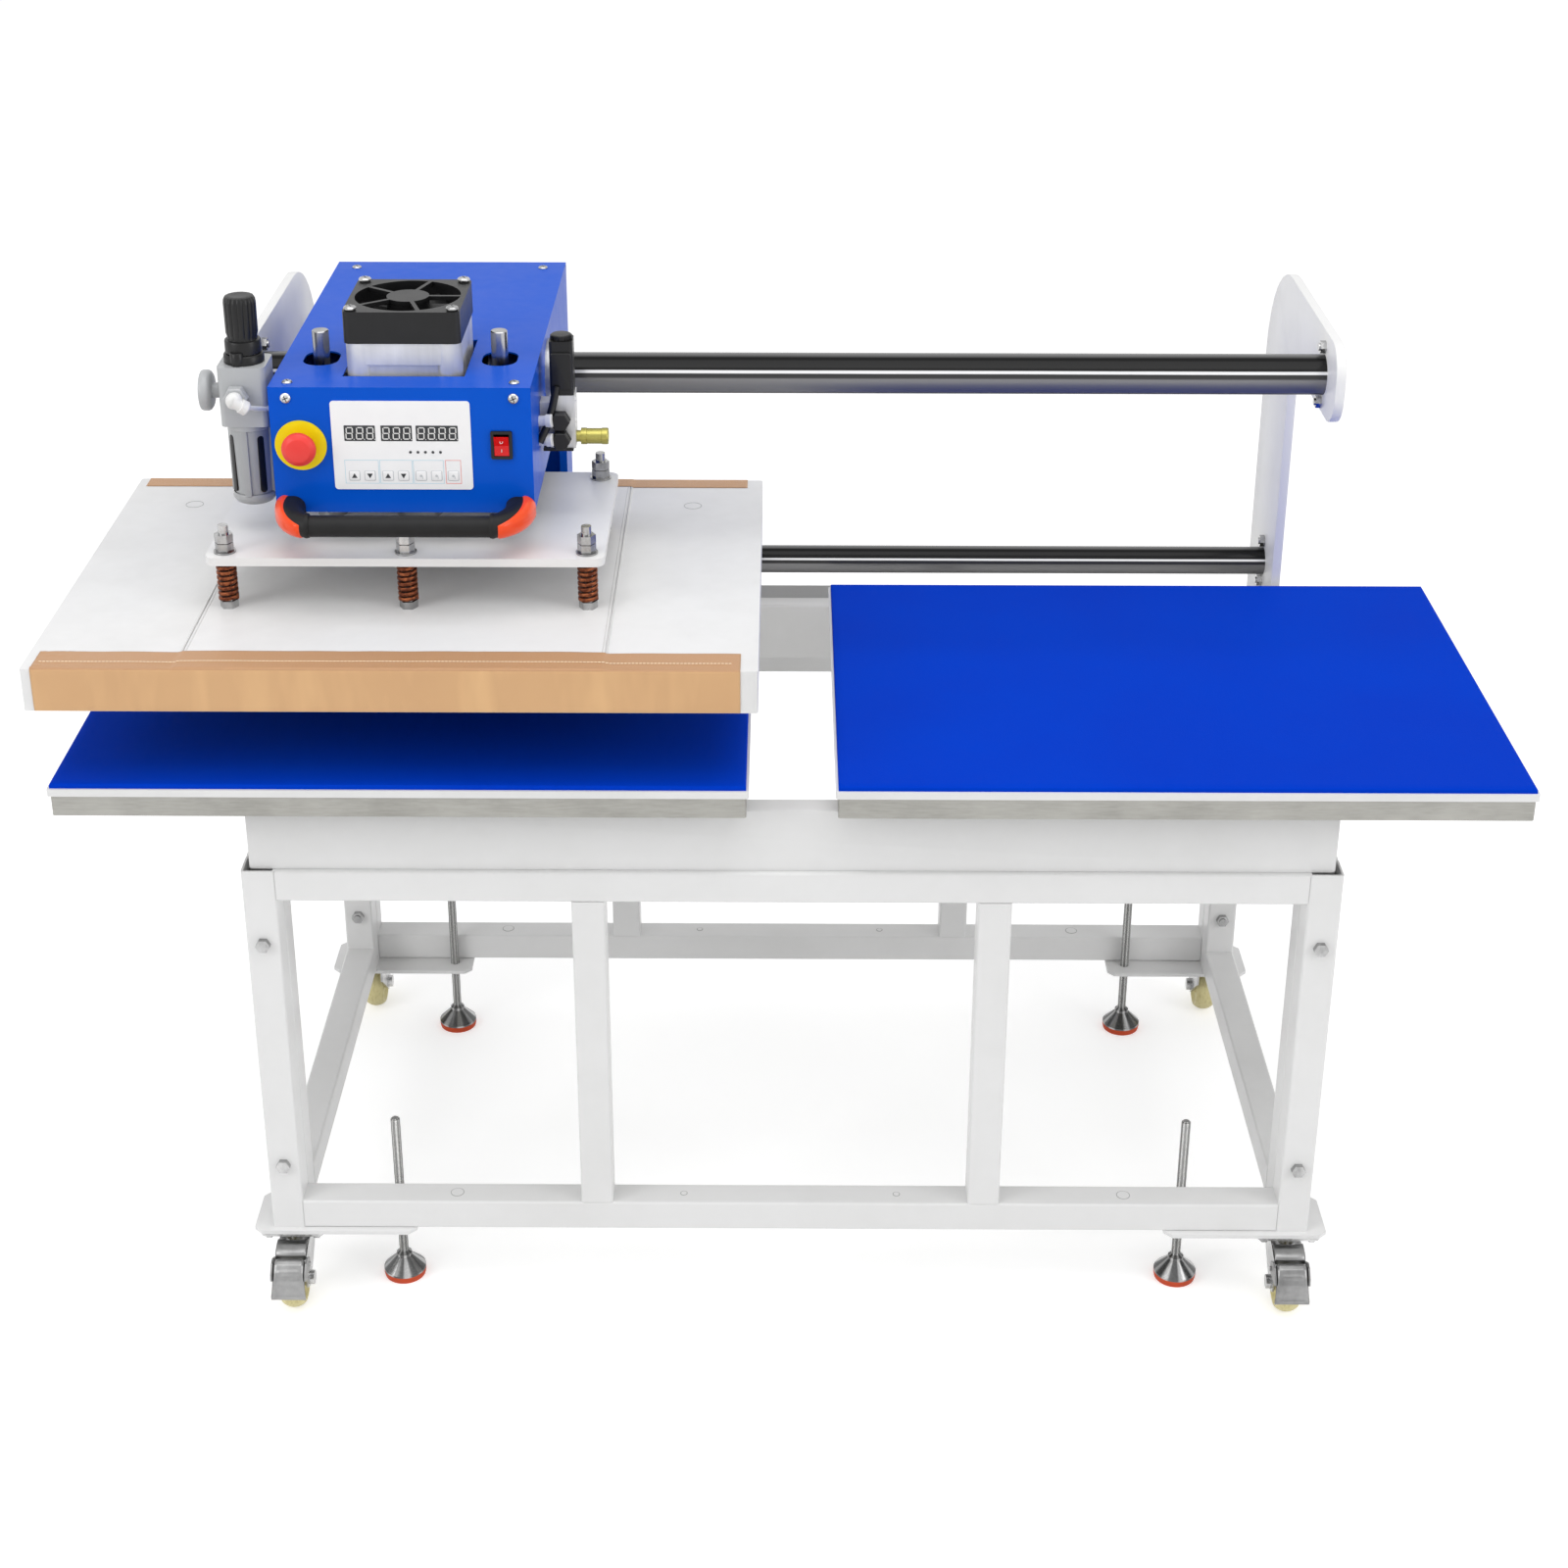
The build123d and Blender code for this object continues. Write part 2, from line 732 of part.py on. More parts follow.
deck_top = head_bottom + deck_thick
rod_xs = [left_x + side * rod_spread / 2 for side in (-1, 1)]
cylinder_y = pad_y + rod_back + 3
bush_radius = rod_radius + bush_wall
with BuildPart() as cylinder_deck:
    deck_length = deck_rear - head_front - sheet
    deck_middle = head_y + sheet + deck_length / 2
    with BuildSketch(above(left_x, deck_middle, head_bottom)):
        Rectangle(2 * side_inner, deck_length)
        with Locations((0, cylinder_y - deck_middle)):
            Circle(piston_rod_radius + 6, mode=Mode.SUBTRACT)
        for x in rod_xs:
            with Locations((x - left_x, pad_y + rod_back - deck_middle)):
                Circle(bush_radius, mode=Mode.SUBTRACT)
    extrude(amount=deck_thick)
save(cylinder_deck, "cylinder_deck")

# Covers: a front sheet, and a top sheet folded down at the back
with BuildPart() as top_cover:
    with BuildSketch(to_right(left_x - head_width / 2, 0, 0)):
        with BuildLine():
            Polyline(
                (head_y, head_top),
                (head_back, head_top),
                (head_back, arm_drop_bottom + 20),
                (head_back - sheet, arm_drop_bottom + 20),
                (head_back - sheet, head_top - sheet),
                (head_y, head_top - sheet),
                close=True,
            )
        make_face()
    extrude(amount=head_width)
    with BuildSketch(Plane.XY.offset(head_top - 2 * sheet)):
        with Locations((left_x, cylinder_y)):
            Rectangle(cylinder_size + 2 * cutout_margin, cylinder_size + 2 * cutout_margin)
        for x in rod_xs:
            with Locations((x, pad_y + rod_back)):
                RectangleRounded(slot_width, slot_length, slot_width / 2 - 1)
    extrude(amount=4 * sheet, mode=Mode.SUBTRACT)
save(top_cover, "top_cover")

with BuildPart() as front_cover:
    height = head_top - sheet - head_bottom
    with BuildSketch(to_front(left_x, head_y + sheet, head_bottom + height / 2)):
        Rectangle(head_width, height)
        middle = head_bottom + height / 2
        with Locations((estop_offset, estop_height - middle)):
            Circle(estop_stem_radius + 1, mode=Mode.SUBTRACT)
        with Locations((rocker_offset, rocker_height - middle)):
            Rectangle(rocker_width + 4, rocker_length + 4, mode=Mode.SUBTRACT)
    extrude(amount=sheet)
save(front_cover, "front_cover")

# Flanged linear bearings in the side plates, and guide bushes in the deck
with BuildPart() as shaft_bearings:
    for side in (-1, 1):
        for back, height, shaft_radius, radius in shaft_places:
            bore = shaft_radius + running_clearance
            face = left_x + side * head_width / 2
            start = outward(side, face, pad_y + back, height)
            round_tube(start, radius + flange_over, bore, flange_thick)
            round_tube(start, radius, bore, -bearing_length)
save(shaft_bearings, "shaft_bearings")

with BuildPart() as guide_bushes:
    for x in rod_xs:
        base = above(x, pad_y + rod_back, head_bottom)
        round_tube(base, bush_radius, rod_radius + running_clearance, bush_length)
        round_tube(base, bush_radius + 6, rod_radius + running_clearance, -5)
save(guide_bushes, "guide_bushes")

# Cylinder between the deck and the fan
cap_top_bottom = cylinder_top - cap_height
with BuildPart() as cylinder_barrel:
    with BuildSketch(above(left_x, cylinder_y, deck_top + cap_height)):
        RectangleRounded(cylinder_size - 6, cylinder_size - 6, cylinder_corner)
        Circle(cylinder_bore, mode=Mode.SUBTRACT)
    extrude(amount=cap_top_bottom - deck_top - cap_height)
save(cylinder_barrel, "cylinder_barrel")

with BuildPart() as cylinder_caps:
    with BuildSketch(above(left_x, cylinder_y, deck_top)):
        RectangleRounded(cylinder_size, cylinder_size, cylinder_corner)
        Circle(piston_rod_radius + running_clearance, mode=Mode.SUBTRACT)
    extrude(amount=cap_height)
    with BuildSketch(above(left_x, cylinder_y, cap_top_bottom)):
        RectangleRounded(cylinder_size, cylinder_size, cylinder_corner)
    extrude(amount=cap_height)
save(cylinder_caps, "cylinder_caps")

# Cooling fan on the cylinder
fan_top = cylinder_top + fan_height
with BuildPart() as fan_frame:
    with BuildSketch(above(left_x, cylinder_y, cylinder_top)):
        RectangleRounded(fan_size, fan_size, fan_corner)
        Circle(fan_duct_radius, mode=Mode.SUBTRACT)
    extrude(amount=fan_height)
    with BuildSketch(above(left_x, cylinder_y, fan_top)):
        Circle(fan_hub_radius)
        with PolarLocations(fan_duct_radius / 2, 5):
            Rectangle(fan_duct_radius + 2, fan_strut_thick + 2)
    extrude(amount=-fan_hub_height)
    with BuildSketch(above(left_x, cylinder_y, fan_top)):
        span = fan_size - 2 * fan_screw_inset
        with GridLocations(span, span, 2, 2):
            Circle(2.6 * fan_screw_radius)
    extrude(amount=fan_screw_radius)
save(fan_frame, "fan_frame")

rotor_height = fan_height - fan_hub_height - 2 * fan_rotor_gap
rotor_base = cylinder_top + fan_rotor_gap
blade_length = fan_duct_radius - fan_tip_gap - fan_hub_radius + 2
with BuildPart() as fan_rotor:
    round_bar(above(left_x, cylinder_y, rotor_base), fan_hub_radius, rotor_height + fan_rotor_gap - 0.4)
    for number in range(fan_blades):
        turn = radians(360 * number / fan_blades)
        direction = Vector(cos(turn), sin(turn), 0)
        origin = Vector(left_x, cylinder_y, rotor_base + rotor_height / 2) + direction * (fan_hub_radius - 2)
        with BuildSketch(Plane(origin=origin, x_dir=(-sin(turn), cos(turn), 0), z_dir=direction)):
            Rectangle(26, 2, rotation=38)
        extrude(amount=blade_length)
save(fan_rotor, "fan_rotor")

# Moving press: plate, guide rods and the piston with its rod
plate_y = pad_y + press_plate_front + press_plate_depth / 2
with BuildPart() as press_plate:
    with BuildSketch(above(left_x, plate_y, press_plate_top - press_plate_thick)):
        RectangleRounded(press_plate_width, press_plate_depth, press_plate_corner)
        for column in stud_columns:
            for row in stud_rows:
                with Locations((column, pad_y + row - plate_y)):
                    Circle(stud_radius + 0.5, mode=Mode.SUBTRACT)
    extrude(amount=press_plate_thick)
save(press_plate, "press_plate")

with BuildPart() as guide_rods:
    for x in rod_xs:
        base = above(x, pad_y + rod_back, press_plate_top)
        round_bar(base, rod_radius, rod_top - press_plate_top)
        round_bar(base, rod_collar_radius, rod_collar_height)
    tops = guide_rods.edges().filter_by(GeomType.CIRCLE).group_by(Axis.Z)[-1]
    chamfer(tops, 1)
save(guide_rods, "guide_rods")

piston_top = cap_top_bottom - piston_gap
with BuildPart() as piston:
    base = above(left_x, cylinder_y, press_plate_top)
    round_bar(base, piston_rod_radius, piston_top - press_plate_top)
    round_bar(base, piston_rod_radius + 12, 10)
    head = above(left_x, cylinder_y, piston_top - piston_thick)
    round_bar(head, cylinder_bore - running_clearance, piston_thick)
save(piston, "piston")

# Heated platen: hood, heating plate, studs, springs and the fabric wrap
hot_bottom = work_height + press_gap + wrap_thick
hot_top = hot_bottom + hot_height
hot_y = pad_y - hot_front + hot_depth / 2
with BuildPart() as platen_hood:
    with BuildSketch(above(left_x, hot_y, hot_bottom)):
        RectangleRounded(hot_width, hot_depth, hood_edge)
    extrude(amount=hot_height)
    with BuildSketch(above(left_x, hot_y, hot_bottom)):
        Rectangle(hot_width - 2 * hood_sheet, hot_depth - 2 * hood_sheet)
    extrude(amount=hot_height - hood_sheet, mode=Mode.SUBTRACT)
    with BuildSketch(above(left_x, hot_y, hot_top)):
        Rectangle(hood_seam, hot_depth - 2 * hood_edge)
    extrude(amount=hood_panel_thick)
    for column in stud_columns:
        for row in stud_rows:
            hole = above(left_x + column, pad_y + row, hot_bottom)
            round_bar(hole, stud_radius + hole_clearance, 2 * hot_height, Mode.SUBTRACT)
save(platen_hood, "platen_hood")

panel_top = hot_top + hood_panel_thick
with BuildPart() as heating_plate:
    with BuildSketch(above(left_x, hot_y, hot_bottom)):
        inset = 2 * (hood_sheet + 0.1)
        Rectangle(hot_width - inset, hot_depth - inset)
    extrude(amount=hot_plate_thick)
    for column in stud_columns:
        for row in stud_rows:
            boss = above(left_x + column, pad_y + row, hot_bottom + hot_plate_thick)
            round_bar(boss, 2.5 * stud_radius, hot_height - hood_sheet - hot_plate_thick)
            blind = above(left_x + column, pad_y + row, hot_bottom + hot_plate_thick)
            round_bar(blind, stud_radius + 0.05, hot_height, Mode.SUBTRACT)
save(heating_plate, "heating_plate")

spring_base = panel_top + base_nut_height + body_clearance
spring_top = press_plate_top - press_plate_thick
with BuildPart() as spring_studs:
    for column in stud_columns:
        for row in stud_rows:
            x = left_x + column
            y = pad_y + row
            start = above(x, y, hot_bottom + hot_plate_thick)
            round_bar(start, stud_radius, press_plate_top + stud_top - hot_bottom - hot_plate_thick)
            hex_nut(above(x, y, panel_top), nut_radius, stud_radius, base_nut_height)
            washer = above(x, y, press_plate_top + body_clearance)
            round_tube(washer, nut_radius + 2, stud_radius, 2)
            for rise in (2, 13):
                hex_nut(washer.offset(rise), nut_radius, stud_radius, 10)
save(spring_studs, "spring_studs")

with BuildPart() as springs:
    for column in stud_columns:
        for row in stud_rows:
            base = above(left_x + column, pad_y + row, spring_base)
            bore = spring_radius - spring_wire
            round_tube(base, spring_radius, bore, spring_top - spring_base)
save(springs, "springs")

with BuildPart() as platen_wrap:
    wrap_width = hot_width - wrap_end_left - wrap_end_right
    wrap_x = left_x - hot_width / 2 + wrap_end_left
    front = hot_y - hot_depth / 2
    back = hot_y + hot_depth / 2
    with BuildSketch(to_right(wrap_x, 0, 0)):
        with BuildLine():
            Polyline(
                (front + wrap_front_lip, hot_top),
                (front + wrap_front_lip, hot_top + wrap_thick),
                (front - wrap_thick, hot_top + wrap_thick),
                (front - wrap_thick, hot_bottom - wrap_thick),
                (back + wrap_thick, hot_bottom - wrap_thick),
                (back + wrap_thick, hot_top + wrap_thick),
                (back - wrap_rear_lip, hot_top + wrap_thick),
                (back - wrap_rear_lip, hot_top),
                (back, hot_top),
                (back, hot_bottom),
                (front, hot_bottom),
                (front, hot_top),
                close=True,
            )
        make_face()
    extrude(amount=wrap_width)
    with BuildSketch(above(left_x, hot_y, hot_top)):
        Rectangle(hood_seam, 2 * hot_depth)
    extrude(amount=hood_panel_thick, mode=Mode.SUBTRACT)
save(platen_wrap, "platen_wrap")

# Control panel, emergency stop and rocker switch on the front cover
with BuildPart() as control_panel:
    with BuildSketch(to_front(left_x, head_y, panel_centre_height)):
        RectangleRounded(panel_width, panel_height, 4)
    extrude(amount=panel_thick)
save(control_panel, "control_panel")

estop_x = left_x + estop_offset
with BuildPart() as estop_body:
    ring = to_front(estop_x, head_y, estop_height)
    bore = estop_stem_radius - 3 + running_clearance
    round_tube(ring, estop_disc_radius, bore, estop_disc_thick)
    round_tube(ring, estop_stem_radius, bore, -30)
    round_tube(ring.offset(estop_disc_thick), estop_stem_radius, bore, estop_reach - 24)
save(estop_body, "estop_body")

with BuildPart() as estop_button:
    face = to_front(estop_x, head_y, estop_height)
    collar = estop_disc_thick + estop_reach - 24
    cap_base = face.offset(collar + estop_travel + 0.5)
    round_bar(cap_base, estop_cap_radius, 10)
    rim = estop_button.edges().filter_by(GeomType.CIRCLE).sort_by(Axis.Y)[0]
    fillet(rim, 6)
    round_bar(cap_base, estop_stem_radius - 3, -(collar + 20))
save(estop_button, "estop_button")

rocker_x = left_x + rocker_offset
with BuildPart() as rocker_bezel:
    with BuildSketch(to_front(rocker_x, head_y, rocker_height)):
        RectangleRounded(rocker_bezel_width, rocker_bezel_height, 2)
        Rectangle(rocker_width + 1, rocker_length + 1, mode=Mode.SUBTRACT)
    extrude(amount=rocker_bezel_thick)
    with BuildSketch(to_front(rocker_x, head_y + sheet, rocker_height)):
        Rectangle(rocker_width + 3.6, rocker_length + 3.6)
        Rectangle(rocker_width + 1, rocker_length + 1, mode=Mode.SUBTRACT)
    extrude(amount=sheet)
    with BuildSketch(to_front(rocker_x, head_y + sheet, rocker_height)):
        Rectangle(rocker_width + 3.6, rocker_length + 3.6)
    extrude(amount=-24)
    with BuildSketch(to_front(rocker_x, head_y + sheet, rocker_height)):
        Rectangle(rocker_width + 1, rocker_length + 1)
    extrude(amount=-10, mode=Mode.SUBTRACT)
    for side in (-1, 1):
        start = outward(-side, rocker_x + side * (rocker_width + 1) / 2, head_y + 2, rocker_height)
        round_bar(start, rocker_pin_radius, 1.5)
save(rocker_bezel, "rocker_bezel")

with BuildPart() as rocker:
    lean = radians(rocker_angle)
    flank = Plane(
        origin=(rocker_x - rocker_width / 2, head_y + sheet, rocker_height),
        x_dir=(0, cos(lean), sin(lean)),
        z_dir=(1, 0, 0),
    )
    with BuildSketch(flank):
        with BuildLine():
            Polyline(
                (0, 5),
                (-5, rocker_length / 2 - 1),
                (-6.5, rocker_length / 2 - 1),
                (-4.5, 0),
                (-6.5, 1 - rocker_length / 2),
                (-5, 1 - rocker_length / 2),
                (0, -5),
                (4, 0),
                close=True,
            )
        make_face()
        Circle(rocker_pin_radius + running_clearance, mode=Mode.SUBTRACT)
    extrude(amount=rocker_width)
save(rocker, "rocker")

# Pull handle under the front of the head
handle_y = pad_y + handle_back
with BuildPart() as handle_tube:
    inner = handle_half - handle_bracket_width
    start = to_right(left_x - inner, handle_y, handle_height)
    round_tube(start, handle_radius, handle_radius - 2.5, 2 * inner)
save(handle_tube, "handle_tube")

with BuildPart() as handle_brackets:
    for side in (-1, 1):
        outer = left_x + side * handle_half
        inner = outer - side * handle_bracket_width
        with BuildSketch(to_right(min(outer, inner), 0, 0)) as profile:
            with BuildLine():
                Polyline(
                    (head_y, head_bottom + 34),
                    (head_y, head_bottom - 4),
                    (handle_y, handle_height - handle_radius - 3),
                    (handle_y - 12, handle_height),
                    (handle_y, handle_height + handle_radius + 3),
                    (handle_y + 26, handle_height + 30),
                    close=True,
                )
            make_face()
            fillet(profile.vertices().sort_by(Axis.Y)[0:2], 8)
        extrude(amount=handle_bracket_width)
save(handle_brackets, "handle_brackets")

# Air preparation unit: filter regulator, bowl, adjusting knob and gauge
unit_x = left_x + unit_offset
unit_y = pad_y + unit_back
with BuildPart() as unit_body:
    with BuildSketch(above(unit_x, unit_y, unit_bottom)):
        RectangleRounded(unit_width, unit_depth, 7)
    extrude(amount=unit_top - unit_bottom)
    round_bar(above(unit_x, unit_y, unit_top), unit_neck_radius, unit_neck_height)
    reach = -unit_offset - unit_width / 2 - head_width / 2
    nipple = to_right(unit_x + unit_width / 2, unit_y, unit_bottom + 24)
    round_bar(nipple, 13, reach)
    elbow = to_front(unit_x - 6, unit_y - unit_depth / 2, unit_top - 34)
    with BuildSketch(elbow):
        RegularPolygon(13, 6)
    extrude(amount=7)
    round_bar(elbow, 8, inlet_reach)
    round_bar(elbow.offset(inlet_reach - inlet_depth), inlet_radius, inlet_depth, Mode.SUBTRACT)
save(unit_body, "unit_body")

with BuildPart() as unit_bowl:
    with BuildSketch(to_front(unit_x, unit_y, 0)):
        with BuildLine():
            Polyline(
                (0, bowl_bottom),
                (bowl_radius - 8, bowl_bottom),
                (bowl_radius - 2, bowl_bottom + 6),
                (bowl_radius, unit_bottom),
                (0, unit_bottom),
                close=True,
            )
        make_face()
    revolve(axis=Axis((unit_x, unit_y, 0), (0, 0, 1)))
save(unit_bowl, "unit_bowl")

knob_base = unit_top + unit_neck_height + body_clearance
with BuildPart() as regulator_knob:
    round_bar(above(unit_x, unit_y, knob_base), knob_radius + 2, 14)
    round_bar(above(unit_x, unit_y, knob_base), knob_radius, knob_top - knob_base)
    rim = regulator_knob.edges().filter_by(GeomType.CIRCLE).sort_by(Axis.Z)[-1]
    fillet(rim, 3)
save(regulator_knob, "regulator_knob")

with BuildPart() as pressure_gauge:
    start = outward(-1, unit_x - unit_width / 2, unit_y, (unit_bottom + unit_top) / 2)
    round_bar(start, 6, 5)
    round_bar(start.offset(5), gauge_radius, gauge_depth)
save(pressure_gauge, "pressure_gauge")

# Solenoid valve with its coil, push-in fittings and brass silencer
valve_x = left_x + valve_offset
valve_y = pad_y + valve_back
with BuildPart() as valve_body:
    with BuildSketch(above(valve_x, valve_y, valve_bottom)):
        Rectangle(valve_width, valve_depth)
    extrude(amount=valve_top - valve_bottom)
    bracket = valve_offset - valve_width / 2 - head_width / 2
    with BuildSketch(to_right(left_x + head_width / 2, valve_y, (valve_bottom + valve_top) / 2)):
        Rectangle(valve_depth - 8, valve_top - valve_bottom - 20)
    extrude(amount=bracket)
    for rise in (14, 38):
        fitting = to_front(valve_x - 2, valve_y - valve_depth / 2, valve_bottom + rise)
        round_bar(fitting, 9, 18)
save(valve_body, "valve_body")

with BuildPart() as valve_coil:
    with BuildSketch(above(valve_x, valve_y, valve_top)):
        RectangleRounded(valve_width - 2 * coil_inset, valve_depth - 2 * coil_inset, 4)
    extrude(amount=coil_height)
save(valve_coil, "valve_coil")

with BuildPart() as silencer:
    start = to_right(valve_x + valve_width / 2, valve_y, silencer_height + 4)
    round_bar(start, silencer_radius - 3, 6)
    round_bar(start.offset(6), silencer_radius, silencer_length - 6)
save(silencer, "silencer")
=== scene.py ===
import json
import math

import bmesh
import bpy
from mathutils import Matrix, Vector, noise


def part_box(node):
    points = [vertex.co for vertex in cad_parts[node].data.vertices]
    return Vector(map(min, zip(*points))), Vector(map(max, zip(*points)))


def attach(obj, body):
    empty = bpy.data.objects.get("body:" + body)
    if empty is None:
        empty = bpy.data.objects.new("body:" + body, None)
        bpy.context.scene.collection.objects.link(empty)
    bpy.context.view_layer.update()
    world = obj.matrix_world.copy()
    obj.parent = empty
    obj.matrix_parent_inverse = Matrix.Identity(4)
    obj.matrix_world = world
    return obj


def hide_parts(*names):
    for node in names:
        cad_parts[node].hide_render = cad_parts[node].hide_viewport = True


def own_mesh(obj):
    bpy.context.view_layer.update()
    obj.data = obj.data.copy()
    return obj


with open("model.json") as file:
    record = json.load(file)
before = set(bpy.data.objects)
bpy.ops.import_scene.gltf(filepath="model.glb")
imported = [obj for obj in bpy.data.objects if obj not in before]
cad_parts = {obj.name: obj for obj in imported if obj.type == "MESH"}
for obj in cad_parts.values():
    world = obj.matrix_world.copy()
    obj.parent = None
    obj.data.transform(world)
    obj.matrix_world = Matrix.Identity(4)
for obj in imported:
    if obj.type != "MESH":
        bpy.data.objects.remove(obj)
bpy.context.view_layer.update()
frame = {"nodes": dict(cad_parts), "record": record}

nodes = frame["nodes"]
MM = 0.001

# Places of the machine, in millimetres, as the solids have them
cover_low, cover_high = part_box("front_cover")
head_x = (cover_low.x + cover_high.x) / 2 / MM
head_y = cover_low.y / MM
head_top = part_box("top_cover")[1].z / MM
head_half = (cover_high.x - cover_low.x) / 2 / MM
panel_half = 239           # middle of the platen hood to the weld seam on either side
panel_rise = 1.6           # the hood's middle stands up by its sheet


def mm_box(node):
    """Lowest and highest corner of a node, in millimetres."""
    low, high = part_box(node)
    return low / MM, high / MM


def clamped(value):
    """Number kept between 0 and 1."""
    return min(1.0, max(0.0, value))


def srgb(red, green, blue):
    """Colour given as 0 to 255 on screen, as the renderer's linear values."""
    linear = []
    for value in (red, green, blue):
        share = value / 255
        linear.append(share / 12.92 if share <= 0.04045 else ((share + 0.055) / 1.055) ** 2.4)
    return (*linear, 1.0)


# Finishes


class Wire:
    """A socket that takes part in sums."""

    def __init__(self, finish, socket):
        self.finish = finish
        self.socket = socket

    def sum(self, operation, *values):
        return self.finish.node("ShaderNodeMath", dict(enumerate(values)), operation=operation)("Value")

    def __add__(self, other):
        return self.sum("ADD", self, other)

    __radd__ = __add__

    def __mul__(self, other):
        return self.sum("MULTIPLY", self, other)

    __rmul__ = __mul__

    def __sub__(self, other):
        return self.sum("SUBTRACT", self, other)

    def __rsub__(self, other):
        return self.sum("SUBTRACT", other, self)

    def __truediv__(self, other):
        return self.sum("DIVIDE", self, other)

    def __gt__(self, other):
        return self.sum("GREATER_THAN", self, other)

    def __lt__(self, other):
        return self.sum("LESS_THAN", self, other)

    def sine(self):
        return self.sum("SINE", self)

    def most(self, other):
        return self.sum("MAXIMUM", self, other)


class Finish:
    """A surface made of nodes round one shader."""

    def __init__(self, name, **constants):
        self.material = bpy.data.materials.new(name)
        self.material.use_nodes = True
        self.tree = self.material.node_tree
        self.shader = self.tree.nodes["Principled BSDF"]
        for socket, value in constants.items():
            self.shader.inputs[socket.replace("_", " ")].default_value = value
        self.point = self.node("ShaderNodeTexCoord")("Object")
        parts = self.node("ShaderNodeSeparateXYZ", {"Vector": self.point})
        self.x, self.y, self.z = parts("X"), parts("Y"), parts("Z")

    def node(self, kind, sockets=None, stops=None, **settings):
        made = self.tree.nodes.new(kind)
        for setting, value in settings.items():
            setattr(made, setting, value)
        if stops:
            ramp = made.color_ramp
            while len(ramp.elements) < len(stops):
                ramp.elements.new(0.5)
            for element, (place, value) in zip(ramp.elements, stops):
                element.position = place
                element.color = value
        for socket, value in (sockets or {}).items():
            if isinstance(value, Wire):
                self.tree.links.new(value.socket, made.inputs[socket])
            else:
                made.inputs[socket].default_value = value
        return lambda output: Wire(self, made.outputs[output])

    def feed(self, socket, wire):
        self.tree.links.new(wire.socket, self.shader.inputs[socket])
        return self

    def grain(self, scale, detail=3, stretch=(1, 1, 1), roughness=0.5):
        """Noise whose size is in features per metre, drawn out along the axes."""
        place = self.node(
            "ShaderNodeVectorMath", {0: self.point, 1: stretch}, operation="MULTIPLY"
        )("Vector")
        made = self.node(
            "ShaderNodeTexNoise",
            {"Vector": place, "Scale": scale, "Detail": detail, "Roughness": roughness},
        )
        return made("Fac")

    def between(self, share, low, high):
        """Colour that goes from one to the other."""
        return self.node(
            "ShaderNodeMix", {0: share, 6: low, 7: high}, data_type="RGBA", clamp_factor=True
        )(2)

    def ramp(self, share, low, high):
        """Share that is 0 below one value and 1 above another."""
        return self.node(
            "ShaderNodeMapRange", {"Value": share, "From Min": low, "From Max": high}, clamp=True
        )("Result")

    def rough(self, wire):
        return self.feed("Roughness", wire)

    def colour(self, wire):
        return self.feed("Base Color", wire)

    def relief(self, height, distance, strength=1.0):
        bump = self.node(
            "ShaderNodeBump", {"Strength": strength, "Distance": distance, "Height": height}
        )
        return self.feed("Normal", bump("Normal"))


def paint(name, colour, shade, roughness=0.34, coat=0.2, peel=0.00006, gloss=0.4):
    """Sprayed or powder coated metal with orange peel and faint handling marks."""
    finish = Finish(name, Specular_IOR_Level=gloss, Coat_Roughness=0.15)
    marks = finish.ramp(finish.grain(5, 5, roughness=0.62), 0.42, 0.78)
    dust = finish.grain(60, 4)
    finish.colour(finish.between(marks * 0.55 + dust * 0.2, colour, shade))
    finish.rough(roughness + 0.12 * dust + 0.1 * marks)
    finish.shader.inputs["Coat Weight"].default_value = coat
    finish.relief(finish.grain(700, 2), peel)
    return finish.material


def metal(name, low, high, roughness, stretch=(1, 1, 1), scale=300, relief=0.00002, patch=0.12, bare=1.0):
    """Bare metal whose grain is drawn out along one way."""
    finish = Finish(name, Metallic=bare)
    streaks = finish.grain(scale, 4, stretch, 0.6)
    patches = finish.ramp(finish.grain(14, 4), 0.35, 0.7)
    finish.colour(finish.between(streaks * 0.6 + patches * 0.4, low, high))
    finish.rough(roughness + 0.14 * streaks + patch * patches)
    finish.relief(streaks, relief)
    return finish.material


def moulded(name, colour, shade, roughness=0.45, coat=0.0, scale=1400, relief=0.00004, gloss=0.3):
    """Moulded plastic or rubber with a fine grain."""
    finish = Finish(name, Specular_IOR_Level=gloss, Coat_Roughness=0.1)
    finish.shader.inputs["Coat Weight"].default_value = coat
    clouds = finish.grain(45, 4)
    finish.colour(finish.between(clouds, colour, shade))
    finish.rough(roughness + 0.12 * clouds)
    finish.relief(finish.grain(scale, 2), relief)
    return finish.material


def foam_silicone():
    """Blue silicone sponge with closed pores and a slight bloom."""
    finish = Finish("pad_blue_silicone", Specular_IOR_Level=0.02)
    pores = finish.node(
        "ShaderNodeTexVoronoi", {"Vector": finish.point, "Scale": 650.0}, feature="F1"
    )("Distance")
    bloom = finish.ramp(finish.grain(3.2, 4, roughness=0.55), 0.35, 0.72)
    speck = finish.grain(900, 2)
    tone = bloom * 0.55 + speck * 0.3
    finish.colour(finish.between(tone, srgb(0, 54, 188), srgb(0, 64, 200)))
    finish.rough(0.5 + 0.16 * speck + 0.08 * bloom)
    finish.relief(pores, 0.00025, 0.5)
    return finish.material


